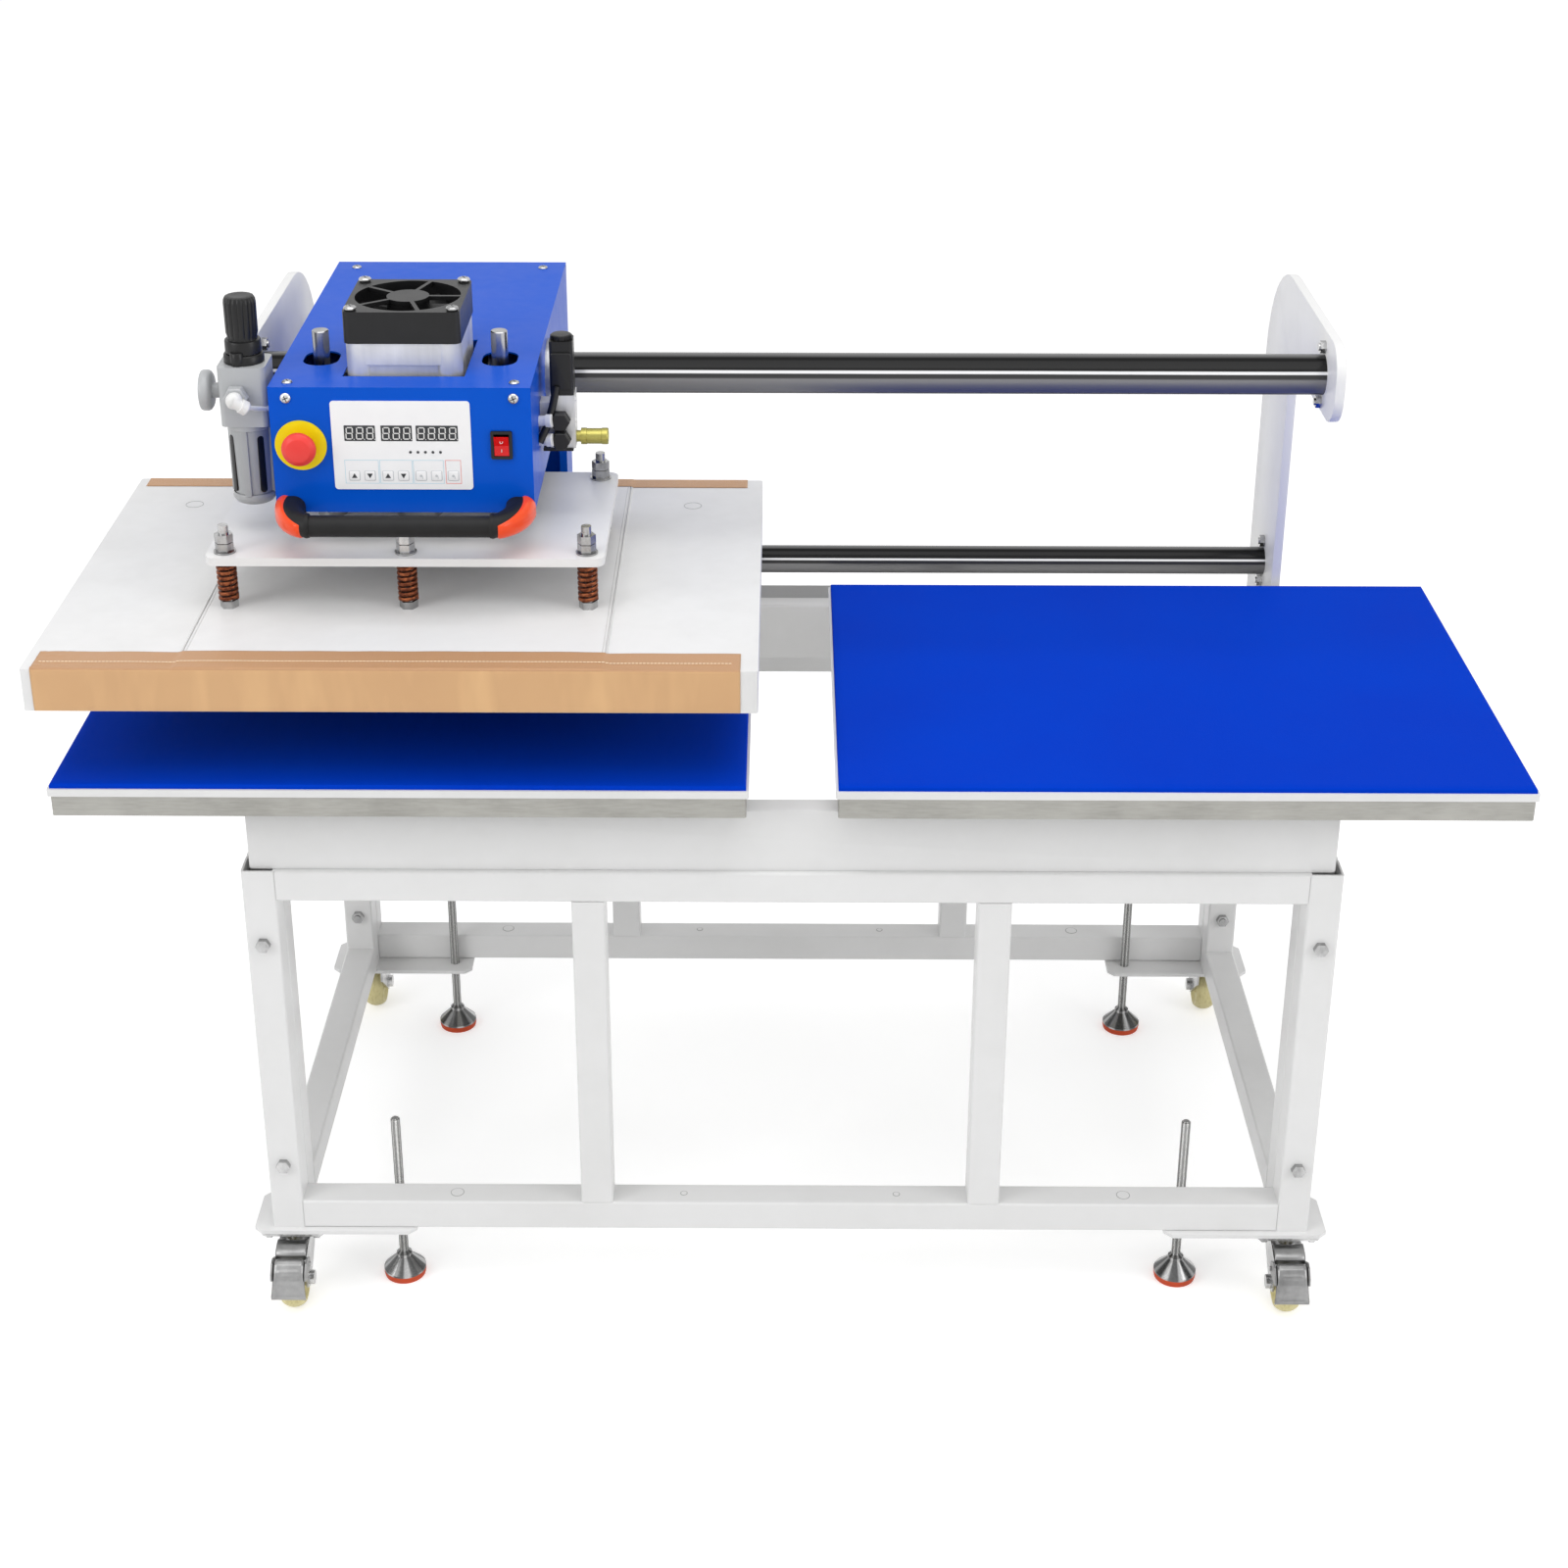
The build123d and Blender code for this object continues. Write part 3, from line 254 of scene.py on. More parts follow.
def glass_cloth():
    """Tan coated glass cloth: plain weave under a satin film, with soft handling creases."""
    finish = Finish("wrap_tan_cloth", Coat_Roughness=0.35, Specular_IOR_Level=0.45)
    finish.shader.inputs["Coat Weight"].default_value = 0.25
    yarn = 2 * math.pi / 0.0012
    across = (finish.x * yarn).sine()
    along = ((finish.y + finish.z) * yarn).sine()
    weave = across * along
    tone = finish.grain(7, 3, (1.4, 1, 0.6), 0.5)
    folds = finish.ramp(finish.grain(19, 2, (1.5, 1, 0.35)), 0.46, 0.72)
    # painted shade: the cloth lapped over the top of the hood is coloured darker than the same cloth on its
    # front
    painted_shade_on_laps = finish.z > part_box("platen_hood")[1].z - 0.0017
    light = tone * 0.5 + folds * 0.35 + weave * 0.03 - 0.9 * painted_shade_on_laps + 0.3
    finish.colour(finish.between(light, srgb(190, 144, 102), srgb(224, 180, 128)))
    finish.rough(0.4 + 0.08 * tone + 0.04 * weave)
    finish.relief(weave * 0.1 + folds * 0.5 + tone * 0.3, 0.0008)
    return finish.material


def foot_zinc(x, y):
    """Plated foot round a centre: painted highlights as bright and dark wedges round its turned cone, a
    thread and an orange sole.
    """
    finish = Finish("foot_zinc_and_rubber")
    sole = finish.z < 0.0085
    stud = finish.z > 0.036
    grind = finish.grain(300, 4, (1, 1, 3))
    round_axis = (finish.y - y).sum("ARCTAN2", finish.y - y, finish.x - x)
    # painted highlight: light and dark wedges by angle round the foot's axis stand in for reflections on the
    # cone
    painted_highlight_wedges = finish.ramp((round_axis * 8).sine() + 0.5 * (round_axis * 5 + 1).sine(), -0.2, 0.9)
    thread = (finish.z * (2 * math.pi / 0.00175)).sine()
    bright = finish.between(stud, (0.5, 0.5, 0.5, 1), (0.66, 0.66, 0.65, 1))
    steel = finish.between(painted_highlight_wedges * 0.75 + grind * 0.25 + stud * 0.3, srgb(72, 72, 72), bright)
    rubber = finish.between(grind, srgb(196, 62, 20), srgb(214, 82, 34))
    finish.colour(finish.between(sole, steel, rubber))
    finish.feed("Metallic", 1 - sole)
    finish.rough(0.2 + 0.1 * grind + 0.35 * sole)
    finish.relief(thread * stud * 0.5 + grind * 0.05, 0.0008)
    return finish.material


def shaft_chrome():
    """Hard chrome on the two round shafts, with painted reflections: its colour is toned by height as a bar
    mirrors floor, horizon and ceiling.
    """
    finish = Finish("shaft_hard_chrome", Metallic=0.55, Specular_IOR_Level=0.12)
    low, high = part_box("shafts")
    upper_radius, lower_radius = 0.025, 0.019
    upper = finish.z > (low.z + high.z) / 2
    lower_axis = low.z + lower_radius
    axis = lower_axis + upper * (high.z - upper_radius - lower_axis)
    radius = lower_radius + upper * (upper_radius - lower_radius)
    drawn = finish.grain(50, 4, (0.05, 1, 1))
    height = (finish.z - axis) / radius * 0.5 + 0.5 + 0.02 * (drawn - 0.5)
    # painted reflection: dark and bright bands by height round each shaft stand in for what the bar mirrors
    painted_reflection_tones = [
        (0.0, 0.03), (0.09, 0.05), (0.13, 0.2), (0.50, 0.22), (0.54, 0.06), (0.63, 0.05), (0.65, 0.9),
        (0.70, 0.9), (0.72, 0.02), (0.96, 0.012), (0.985, 0.12), (1.0, 0.16),
    ]
    stops = [(place, (tone, tone, tone * 1.01, 1)) for place, tone in painted_reflection_tones]
    finish.colour(finish.node("ShaderNodeValToRGB", {"Fac": height}, stops=stops)("Color"))
    finish.rough(0.14 + 0.08 * drawn + 0.22 * (height < 0.52))
    finish.relief(drawn, 0.000004)
    return finish.material


def turned_wheel():
    """Cream nylon wheel, rolled grey along its tread."""
    finish = Finish("wheel_cream_nylon", Specular_IOR_Level=0.5)
    scuff = finish.grain(120, 5, (3, 1, 1), 0.65)
    cloud = finish.grain(18, 3)
    worn = finish.ramp(scuff, 0.45, 0.75) * 0.5 + cloud * 0.3
    finish.colour(finish.between(worn, srgb(232, 222, 166), srgb(178, 162, 104)))
    finish.rough(0.38 + 0.2 * scuff)
    finish.relief(scuff, 0.0002)
    return finish.material


def spring_finish():
    """Copper brown spring wire with brighter rubbed outsides."""
    finish = Finish("spring_copper_brown", Metallic=0.85)
    rub = finish.ramp(finish.grain(220, 4), 0.4, 0.7)
    finish.colour(finish.between(rub, srgb(96, 48, 30), srgb(168, 98, 62)))
    finish.rough(0.32 + 0.18 * rub)
    finish.relief(rub, 0.0001)
    return finish.material


WHITE = paint("powder_white", srgb(232, 232, 232), srgb(221, 221, 220))
finishes = {
    "frame_white": WHITE,
    "tray_metal": metal(
        "tray_brushed_metal", srgb(128, 127, 122), srgb(186, 185, 180), 0.36, (1, 1, 9), 46, 0.00005, 0.2
    ),
    "board_white": paint("board_white", srgb(230, 230, 230), srgb(213, 213, 212), 0.42, 0.1),
    "pad_silicone": foam_silicone(),
    "shaft_chrome": metal(
        "rod_ground_steel", srgb(96, 96, 97), srgb(214, 214, 215), 0.14, (1, 1, 0.05), 70, 0.000004, 0.05
    ),
    "zinc": metal(
        "zinc_plate", srgb(92, 92, 92), srgb(236, 236, 236), 0.16, (1, 1, 0.5), 130, 0.00002, 0.06
    ),
    "head_blue": paint("head_blue", srgb(0, 80, 198), srgb(2, 86, 202), 0.3, 0.08, 0.00008, 0.06),
    "bearing_steel": metal(
        "bearing_ground_steel", srgb(150, 150, 148), srgb(206, 206, 204), 0.22, (1, 1, 1), 200
    ),
    "cylinder_aluminium": metal(
        "cylinder_aluminium", srgb(186, 186, 186), srgb(246, 246, 246), 0.3, (1, 1, 0.06), 60, 0.00001,
        bare=0.5,
    ),
    "black_plastic": moulded("black_moulding", srgb(10, 10, 11), srgb(24, 24, 25), 0.34, 0.1),
    "cast_aluminium": metal(
        "cast_aluminium", srgb(176, 176, 176), srgb(226, 226, 226), 0.42, (1, 1, 1), 160, 0.0002
    ),
    "spring_steel": spring_finish(),
    "wrap_fabric": glass_cloth(),
    "panel_white": moulded(
        "panel_film_white", srgb(238, 238, 240), srgb(244, 244, 245), 0.42, 0.2, 900, 0.00002
    ),
    "estop_yellow": moulded("estop_yellow", srgb(246, 224, 16), srgb(238, 212, 10), 0.4, 0.1, gloss=0.15),
    "estop_red": moulded("estop_red", srgb(226, 48, 46), srgb(236, 74, 66), 0.36, 0.15),
    "rocker_red": moulded("rocker_red", srgb(206, 8, 14), srgb(222, 22, 24), 0.22, 0.3, gloss=0.2),
    "grip_black": moulded("grip_black", srgb(16, 16, 17), srgb(30, 30, 31), 0.46, 0.0, 800, 0.0001, 0.25),
    "bracket_orange": moulded("handle_orange", srgb(238, 66, 14), srgb(246, 84, 24), 0.26, 0.3, gloss=0.2),
    "unit_grey": paint("unit_silver_grey", srgb(178, 180, 182), srgb(156, 158, 160), 0.34, 0.3, 0.0001),
    "bowl_steel": paint("bowl_silver_grey", srgb(166, 168, 170), srgb(146, 148, 150), 0.36, 0.2, 0.0001),
    "gauge_face": moulded("gauge_white", srgb(236, 236, 232), srgb(226, 226, 222), 0.35),
    "brass": metal("silencer_brass", srgb(150, 140, 70), srgb(206, 200, 120), 0.26, (1, 4, 4), 160, 0.00004),
    "wheel_cream": turned_wheel(),
    "foot_zinc": WHITE,
    "pedal_steel": metal(
        "pedal_zinc", srgb(104, 104, 104), srgb(176, 176, 176), 0.24, (1, 1, 1), 90, 0.00003, 0.06
    ),
}
KEY_EDGE = moulded("key_edge", srgb(188, 190, 194), srgb(200, 202, 206), 0.5)
LIGHT_MARK = moulded("mark_white", srgb(222, 222, 221), srgb(234, 234, 233), 0.4)
DARK_MARK = moulded("mark_dark", srgb(34, 36, 40), srgb(46, 48, 52), 0.35, 0.3)
CYAN_LINE = moulded("line_cyan", srgb(170, 208, 224), srgb(186, 216, 230), 0.5)
RED_LINE = moulded("line_red", srgb(226, 120, 116), srgb(232, 140, 134), 0.5)
THREAD = moulded("thread_cream", srgb(250, 236, 210), srgb(240, 222, 190), 0.7)
# painted shade: darker grey for the hood's seam ridges, which are in the hood's white powder coat
SEAM_SHADE_GREY = paint("seam_painted_shade", srgb(212, 212, 211), srgb(196, 196, 195))
SEAM_GREY = moulded("seam_grey", srgb(150, 150, 150), srgb(176, 176, 176), 0.5)

slot_of = {row["node"]: row["material_slot"] for row in frame["record"]["subparts"]}
for name, solid in nodes.items():
    solid.data.materials.clear()
    if slot_of[name] == "foot_zinc":
        low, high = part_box(name)
        material = foot_zinc((low.x + high.x) / 2, (low.y + high.y) / 2)
    elif name == "shafts":
        material = shaft_chrome()
    else:
        material = finishes[slot_of[name]]
    solid.data.materials.append(material)


# Pieces


def piece(name, shape, body, slot, materials=None, smooth=35, replaces=()):
    """Object made of a mesh, riding on a body, in one or more finishes."""
    mesh = bpy.data.meshes.new(name)
    bmesh.ops.recalc_face_normals(shape, faces=shape.faces)
    shape.to_mesh(mesh)
    shape.free()
    made = bpy.data.objects.new(name, mesh)
    bpy.context.scene.collection.objects.link(made)
    for material in materials or [finishes[slot]]:
        mesh.materials.append(material)
    mesh.shade_smooth()
    if smooth < 180:
        mesh.set_sharp_from_angle(angle=math.radians(smooth))
    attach(made, body)
    if replaces:
        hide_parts(*replaces)
    return made


def placed(origin, out, up=(0, 0, 1)):
    """Frame at a point in millimetres whose z points out and whose y points up."""
    z = Vector(out).normalized()
    x = Vector(up).cross(z).normalized()
    y = z.cross(x)
    turn = Matrix((x, y, z)).transposed().to_4x4()
    return Matrix.Translation(Vector(origin) * MM) @ turn @ Matrix.Scale(MM, 4)


def facing_up(x, y, z):
    """Frame on a level surface, its x to the right and its y to the back."""
    return placed((x, y, z), (0, 0, 1), (0, 1, 0))


def facing_front(x, y, z):
    """Frame on an upright surface that faces the front."""
    return placed((x, y, z), (0, -1, 0))


def from_side(x):
    """Frame whose x runs to the back and whose y runs up, at a place along the machine."""
    turn = Matrix(((0, 0, MM, 0), (MM, 0, 0, 0), (0, MM, 0, 0), (0, 0, 0, 1)))
    return Matrix.Translation((x * MM, 0, 0)) @ turn


def skin(shape, rings, material=0):
    """Faces between closed rings of points, and one over each end."""
    count = len(rings[0])
    for first, second in zip(rings, rings[1:]):
        for k in range(count):
            after = (k + 1) % count
            corners = [first[k], first[after], second[after], second[k]]
            shape.faces.new(corners).material_index = material
    shape.faces.new(list(reversed(rings[0]))).material_index = material
    shape.faces.new(rings[-1]).material_index = material


def sheet_faces(shape, grid):
    """Faces between the points of an open grid."""
    for first, second in zip(grid, grid[1:]):
        for k in range(len(first) - 1):
            shape.faces.new([first[k], second[k], second[k + 1], first[k + 1]])


def thicken(made, thickness):
    """Give a sheet its thickness in millimetres, half of it on either side."""
    solid = made.modifiers.new("sheet_thickness", "SOLIDIFY")
    solid.thickness = thickness * MM
    solid.offset = 0.0


def turned(shape, where, profile, steps=32, material=0):
    """Surface turned round the z of a frame; the profile is radius and height."""
    rings = []
    for radius, height in profile:
        if radius == 0:
            rings.append([shape.verts.new(where @ Vector((0, 0, height)))])
            continue
        ring = []
        for step in range(steps):
            angle = 2 * math.pi * step / steps
            spot = Vector((radius * math.cos(angle), radius * math.sin(angle), height))
            ring.append(shape.verts.new(where @ spot))
        rings.append(ring)
    for low, high in zip(rings, rings[1:]):
        for step in range(steps):
            after = (step + 1) % steps
            if len(low) == 1:
                corners = [low[0], high[step], high[after]]
            elif len(high) == 1:
                corners = [low[step], low[after], high[0]]
            else:
                corners = [low[step], low[after], high[after], high[step]]
            shape.faces.new(corners).material_index = material


def slab(shape, where, outline, low, high, edge=0.0, material=0, both=False):
    """Plate with an outline in a frame's x and y, its top edge, or both edges, rounded over."""
    rows = [(edge, low), (edge * 0.3, low + edge * 0.3), (0, low + edge)] if both else [(0, low)]
    if edge:
        for step in range(4):
            angle = math.pi / 2 * step / 3
            rows.append((edge * (1 - math.cos(angle)), high - edge + edge * math.sin(angle)))
    else:
        rows.append((0, high))
    loops = []
    for inset, height in rows:
        loop = []
        for index, point in enumerate(outline):
            before = Vector(outline[index - 1])
            here = Vector(point)
            after = Vector(outline[(index + 1) % len(outline)])
            into = inward(before, here, after)
            spot = here + into * inset
            loop.append(shape.verts.new(where @ Vector((spot.x, spot.y, height))))
        loops.append(loop)
    skin(shape, loops, material)


def inward(before, here, after):
    """Way into an anticlockwise outline at one of its points, per unit of inset."""
    first = (here - before).normalized()
    second = (after - here).normalized()
    normal = Vector((-first.y - second.y, first.x + second.x))
    if normal.length < 1e-6:
        return Vector((0, 0))
    normal.normalize()
    share = max(0.35, normal.dot(Vector((-first.y, first.x))))
    return normal / share


def block(width, height):
    """Outline of a rectangle, anticlockwise."""
    x, y = width / 2, height / 2
    return [(-x, -y), (x, -y), (x, y), (-x, y)]


def rounded(width, height, radius, steps=6):
    """Outline of a rectangle with round corners, anticlockwise."""
    points = []
    for corner in range(4):
        sx = 1 if corner in (0, 3) else -1
        sy = 1 if corner in (0, 1) else -1
        for step in range(steps + 1):
            angle = math.pi / 2 * (corner + step / steps)
            points.append((
                sx * (width / 2 - radius) + radius * math.cos(angle),
                sy * (height / 2 - radius) + radius * math.sin(angle),
            ))
    return points


def softened(points, radii, steps=10):
    """Outline with a radius at each of its corners, anticlockwise."""
    spots = []
    for index, (point, radius) in enumerate(zip(points, radii)):
        here = Vector(point)
        first = (Vector(points[index - 1]) - here).normalized()
        second = (Vector(points[(index + 1) % len(points)]) - here).normalized()
        half = first.angle(second) / 2
        centre = here + (first + second).normalized() * radius / math.sin(half)
        start = here + first * radius / math.tan(half) - centre
        end = here + second * radius / math.tan(half) - centre
        turn = start.angle_signed(end)
        for step in range(steps + 1):
            spots.append(tuple(centre + Matrix.Rotation(-turn * step / steps, 2) @ start))
    return spots


def ring_outline(radius, steps=40, x=0, y=0):
    """Outline of a circle, anticlockwise."""
    angles = [2 * math.pi * k / steps for k in range(steps)]
    return [(x + radius * math.cos(angle), y + radius * math.sin(angle)) for angle in angles]


def pan_screw(shape, where, radius, height):
    """Pan head with a cross recess; finish 1 is the recess."""
    turned(shape, where, [
        (radius, 0), (radius, 0.35 * height), (0.86 * radius, 0.72 * height), (0.5 * radius, height),
        (0, height),
    ], 20)
    for turn in (0, math.pi / 2):
        bar = where @ Matrix.Rotation(turn + 0.4, 4, "Z")
        slab(shape, bar, block(1.16 * radius, 0.2 * radius), 0.6 * height, height + 0.03, 0, 1)


def tube(shape, points, radius, steps=12, material=0):
    """Round tube through points, with closed ends."""
    rings = []
    side = None
    for index, point in enumerate(points):
        ahead = points[min(index + 1, len(points) - 1)] - points[max(index - 1, 0)]
        ahead.normalize()
        if side is None:
            side = ahead.orthogonal().normalized()
        side = (side - ahead * side.dot(ahead)).normalized()
        other = ahead.cross(side)
        ring = []
        for step in range(steps):
            angle = 2 * math.pi * step / steps
            out = side * math.cos(angle) + other * math.sin(angle)
            ring.append(shape.verts.new(point + out * radius))
        rings.append(ring)
    skin(shape, rings, material)


def silicone_pad(name, left):
    """Pad of one station: soft rounded edges, its top faintly uneven from use."""
    low, high = mm_box("pads")
    width, depth, thick = 800.0, high.y - low.y, high.z - low.z
    start = low.x if left else high.x - width
    shape = bmesh.new()
    columns, rows = 80, 60
    edge = 2.2                 # the soft edge's width
    sunk = 0.2                 # the top lies this far under the solid's
    inner = [[None] * (rows + 1) for _ in range(columns + 1)]
    for i in range(columns + 1):
        for j in range(rows + 1):
            x = start + edge + (width - 2 * edge) * i / columns
            y = low.y + edge + (depth - 2 * edge) * j / rows
            dip = 0.18 * noise.noise(Vector((x / 70, y / 70, 3.0 if left else 7.0)))
            rim = min(x - start, start + width - x, y - low.y, high.y - y)
            inner[i][j] = shape.verts.new(Vector((x, y, high.z - sunk + dip * min(1, rim / 30))) * MM)
    sheet_faces(shape, inner)
    border = [inner[i][0] for i in range(columns)] + [inner[columns][j] for j in range(rows)]
    border += [inner[i][rows] for i in range(columns, 0, -1)] + [inner[0][j] for j in range(rows, 0, -1)]
    middle = Vector((start + width / 2, (low.y + high.y) / 2))
    previous = border
    for out, drop in ((1.0, 0.35), (1.9, 1.1), (2.2, 2.4), (2.2, thick)):
        loop = []
        for vertex in border:
            x, y = vertex.co.x / MM, vertex.co.y / MM
            px = x + out * ((x > middle.x + width / 2 - 3) - (x < middle.x - width / 2 + 3))
            py = y + out * ((y > middle.y + depth / 2 - 3) - (y < middle.y - depth / 2 + 3))
            pz = high.z - sunk - drop + (sunk if drop == thick else 0)
            loop.append(shape.verts.new(Vector((px, py, pz)) * MM))
        for index in range(len(loop)):
            after = (index + 1) % len(loop)
            shape.faces.new([previous[index], loop[index], loop[after], previous[after]])
        previous = loop
    shape.faces.new(list(reversed(previous)))
    made = piece(name, shape, "stand", "pad_silicone", smooth=60, replaces=("pads",))


silicone_pad("silicone_pad_left", True)
silicone_pad("silicone_pad_right", False)


def cloth_wrap():
    """Cloth pulled round the heated platen and lapped over its front and rear top edges."""
    low, high = mm_box("platen_wrap")
    hood_low, hood_high = mm_box("platen_hood")
    gap = 0.75
    top = hood_high.z - 1.5 + 0.35
    lip, rear_lip = 48, 30
    front, back = hood_low.y - gap, hood_high.y + gap
    bottom = hood_low.z - gap
    section = []

    def run(start, end, steps):
        for step in range(steps):
            section.append(Vector(start).lerp(Vector(end), step / steps))

    run((front + lip, top + 0.2), (front + 1.6, top + 0.25), 22)
    run((front + 0.9, top + 0.2), (front + 0.1, top - 0.7), 3)
    run((front, top - 1.5), (front, bottom + 4), 18)
    run((front + 0.8, bottom + 1.0), (front + 4, bottom), 3)
    run((front + 8, bottom), (back - 8, bottom), 40)
    run((back - 4, bottom), (back - 0.8, bottom + 1.0), 3)
    run((back, bottom + 4), (back, top - 3.5), 10)
    run((back, top - 1.5), (back - 0.1, top - 0.7), 2)
    run((back - 0.9, top + 0.2), (back - rear_lip, top + 0.25), 12)
    section.append(Vector((back - rear_lip, top + 0.25)))
    columns = 260

    def over_panel(x):
        """1 over the hood's raised middle and 0 beside it."""
        return clamped((panel_half + 5 - abs(x - head_x)) / 4)

    def drift(x):
        """How the lap's edge and its stitches wander along the front."""
        return noise.noise(Vector((x / 60, 2.0, 4.0)))

    shape = bmesh.new()
    grid = []
    for i in range(columns + 1):
        x = low.x + (high.x - low.x) * i / columns
        row = []
        for y, z in section:
            on_face = abs(y - front) < 0.5
            sway = 0.5 + 0.5 * noise.noise(Vector((x / 46 + z / 30, z / 22, 1.5)))
            crease = max(0.0, noise.noise(Vector((x / 110 - z / 38, z / 90, 8.0))))
            bunch = max(0.0, 1 - (x - low.x) / 70)
            if on_face:
                y -= 0.4 * sway * sway + 0.35 * crease
            elif z > top - 1 and y < front + lip + 2:
                lap = clamped((y - front) / 2)
                rough = abs(noise.noise(Vector((x / 9, y / 9, 1))))
                z += 0.3 * sway + panel_rise * over_panel(x) * lap + 1.6 * bunch * lap * rough
                y += 1.6 * (y - front) / lip * drift(x)
            elif z > top - 1:
                lap = clamped((back - y) / 2)
                z += 0.2 * sway + panel_rise * over_panel(x) * lap
            row.append(shape.verts.new(Vector((x, y, z)) * MM))
        grid.append(row)
    sheet_faces(shape, grid)
    made = piece("platen_cloth", shape, "platen", "wrap_fabric", smooth=60, replaces=("platen_wrap",))
    thicken(made, 0.3)
    thread = bmesh.new()
    stitch = 4.2
    count = int((high.x - low.x - 12) / stitch)
    for k in range(count):
        x = low.x + 6 + stitch * k
        y = front + 19 + 0.9 * drift(x)
        z = top + 1.2 + panel_rise * over_panel(x)
        points = [(x, y, z - 0.3), (x + 0.5, y, z), (x + 2.3, y, z), (x + 2.8, y, z - 0.3)]
        tube(thread, [Vector(point) * MM for point in points], 0.6 * MM, 6)
    stitches = piece("cloth_stitches", thread, "platen", "wrap_fabric", materials=[THREAD])


cloth_wrap()


def spring_coils():
    """Six compression springs with flattened end turns, between the nuts and the press plate."""
    low, high = mm_box("springs")
    xs = (low.x + 12, (low.x + high.x) / 2, high.x - 12)
    ys = (low.y + 12, high.y - 12)
    shape = bmesh.new()
    turns, steps = 8, 24
    radial, axial = 1.8, 2.25  # half the wire's size across and along the spring
    outside = 12
    start, end = low.z + axial, high.z - axial
    corners = [(1, 0.6), (0.6, 1), (-0.6, 1), (-1, 0.6), (-1, -0.6), (-0.6, -1), (0.6, -1), (1, -0.6)]
    for x in xs:
        for y in ys:
            rings = []
            for step in range(turns * steps + 1):
                share = step / (turns * steps)
                eased = clamped((share - 0.06) / 0.88)
                angle = 2 * math.pi * turns * share
                out = Vector((math.cos(angle), math.sin(angle), 0))
                centre = Vector((x, y, start + (end - start) * eased)) + out * (outside - radial)
                rings.append([
                    shape.verts.new((centre + out * radial * a + Vector((0, 0, axial * b))) * MM)
                    for a, b in corners
                ])
            skin(shape, rings)
    made = piece("spring_coils", shape, "press", "spring_steel", smooth=60, replaces=("springs",))
    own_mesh(made)


spring_coils()


# Fasteners and plugs
screws = bmesh.new()
for x in (-131, 131):
    rear_x = x - (8 if x > 0 else -8)
    for where in (
        facing_front(head_x + x, head_y, 1157),
        facing_up(head_x + x, head_y + 17, head_top),
        facing_up(head_x + rear_x, head_y + 497, head_top),
    ):
        pan_screw(screws, where, 6.2, 3.2)
fan_low, fan_high = mm_box("fan_frame")
for x in (fan_low.x + 9, fan_high.x - 9):
    for y in (fan_low.y + 9, fan_high.y - 9):
        pan_screw(screws, facing_up(x, y, fan_high.z - 0.5), 7.5, 3.6)
piece("cover_screws", screws, "head", "zinc", [finishes["zinc"], DARK_MARK])

plugs = bmesh.new()
rail_low, rail_high = mm_box("long_rails")
mid_x = (rail_low.x + rail_high.x) / 2
for y in (rail_low.y + 20, rail_high.y - 20):
    for x, radius in ((-420, 8.5), (-134, 4.5), (134, 4.5), (420, 8.5)):
        where = facing_up(mid_x + x, y, rail_low.z + 40)
        turned(plugs, where, [
            (radius, -0.2), (radius, 0.35), (radius - 0.7, 0.35), (radius - 0.7, 0.2),
        ], 28, 1)
        turned(plugs, where, [(radius - 0.6, 0), (radius - 0.9, 0.6), (radius - 2, 0.8), (0, 0.8)], 28)
piece("rail_plugs", plugs, "stand", "frame_white", [WHITE, SEAM_GREY])


# Bed faces: the front and rear beams run past the ends of the side beams
bed_low, bed_high = mm_box("bed_beams")
faces = bmesh.new()
for y, way in ((bed_low.y, -1), (bed_high.y, 1)):
    where = placed(((bed_low.x + bed_high.x) / 2, y, (bed_low.z + bed_high.z) / 2), (0, way, 0))
    slab(faces, where, rounded(bed_high.x - bed_low.x, bed_high.z - bed_low.z - 0.4, 4), 0.05, 1.0, 0.4)
piece("bed_faces", faces, "stand", "frame_white")


# End plates: a column behind, rounded off at its top, and an arm to the front with round corners
plate_low, plate_high = mm_box("end_plates")
thick = 12
arm_bottom, column_front = 1070, plate_high.y - 170
plates = bmesh.new()
profile = [
    (plate_high.y, plate_low.z), (plate_high.y, plate_high.z), (plate_low.y, plate_high.z),
    (plate_low.y, arm_bottom), (column_front, arm_bottom), (column_front, plate_low.z),
]
radii = (10, 140, 40, 40, 25, 10)
for face_x in (plate_low.x, plate_high.x - thick):
    slab(plates, from_side(face_x), softened(profile, radii), 0, thick, 1.0, 0, True)
piece("end_plates_cut", plates, "stand", "frame_white", replaces=("end_plates",))


# Control panel: displays, lamps and keys, measured from its top left corner
SEGMENTS = ((0, 1), (-1, 0.5), (1, 0.5), (0, 0), (-1, -0.5), (1, -0.5), (0, -1))
display_row, lamp_row, key_row = 39, 62, 91
DARK, LIGHT, FILM, CYAN, RED, EDGE = range(6)
panel_low, panel_high = mm_box("control_panel")
panel = facing_front(panel_low.x, panel_low.y, panel_high.z)


def printed(x, y, outline, low, high, material, edge=0.0):
    """Raised mark right of and below the panel's corner."""
    slab(face, panel, [(px + x, py - y) for px, py in outline], low, high, edge, material)


def printed_frame(x0, x1, line, material):
    """Thin frame round a group of keys."""
    y0, y1 = 72, 100.5
    for y in (y0, y1):
        printed((x0 + x1) / 2, y, block(x1 - x0 + line, line), -0.3, 0.16, material)
    for x in (x0, x1):
        printed(x, (y0 + y1) / 2, block(line, y1 - y0), -0.3, 0.16, material)


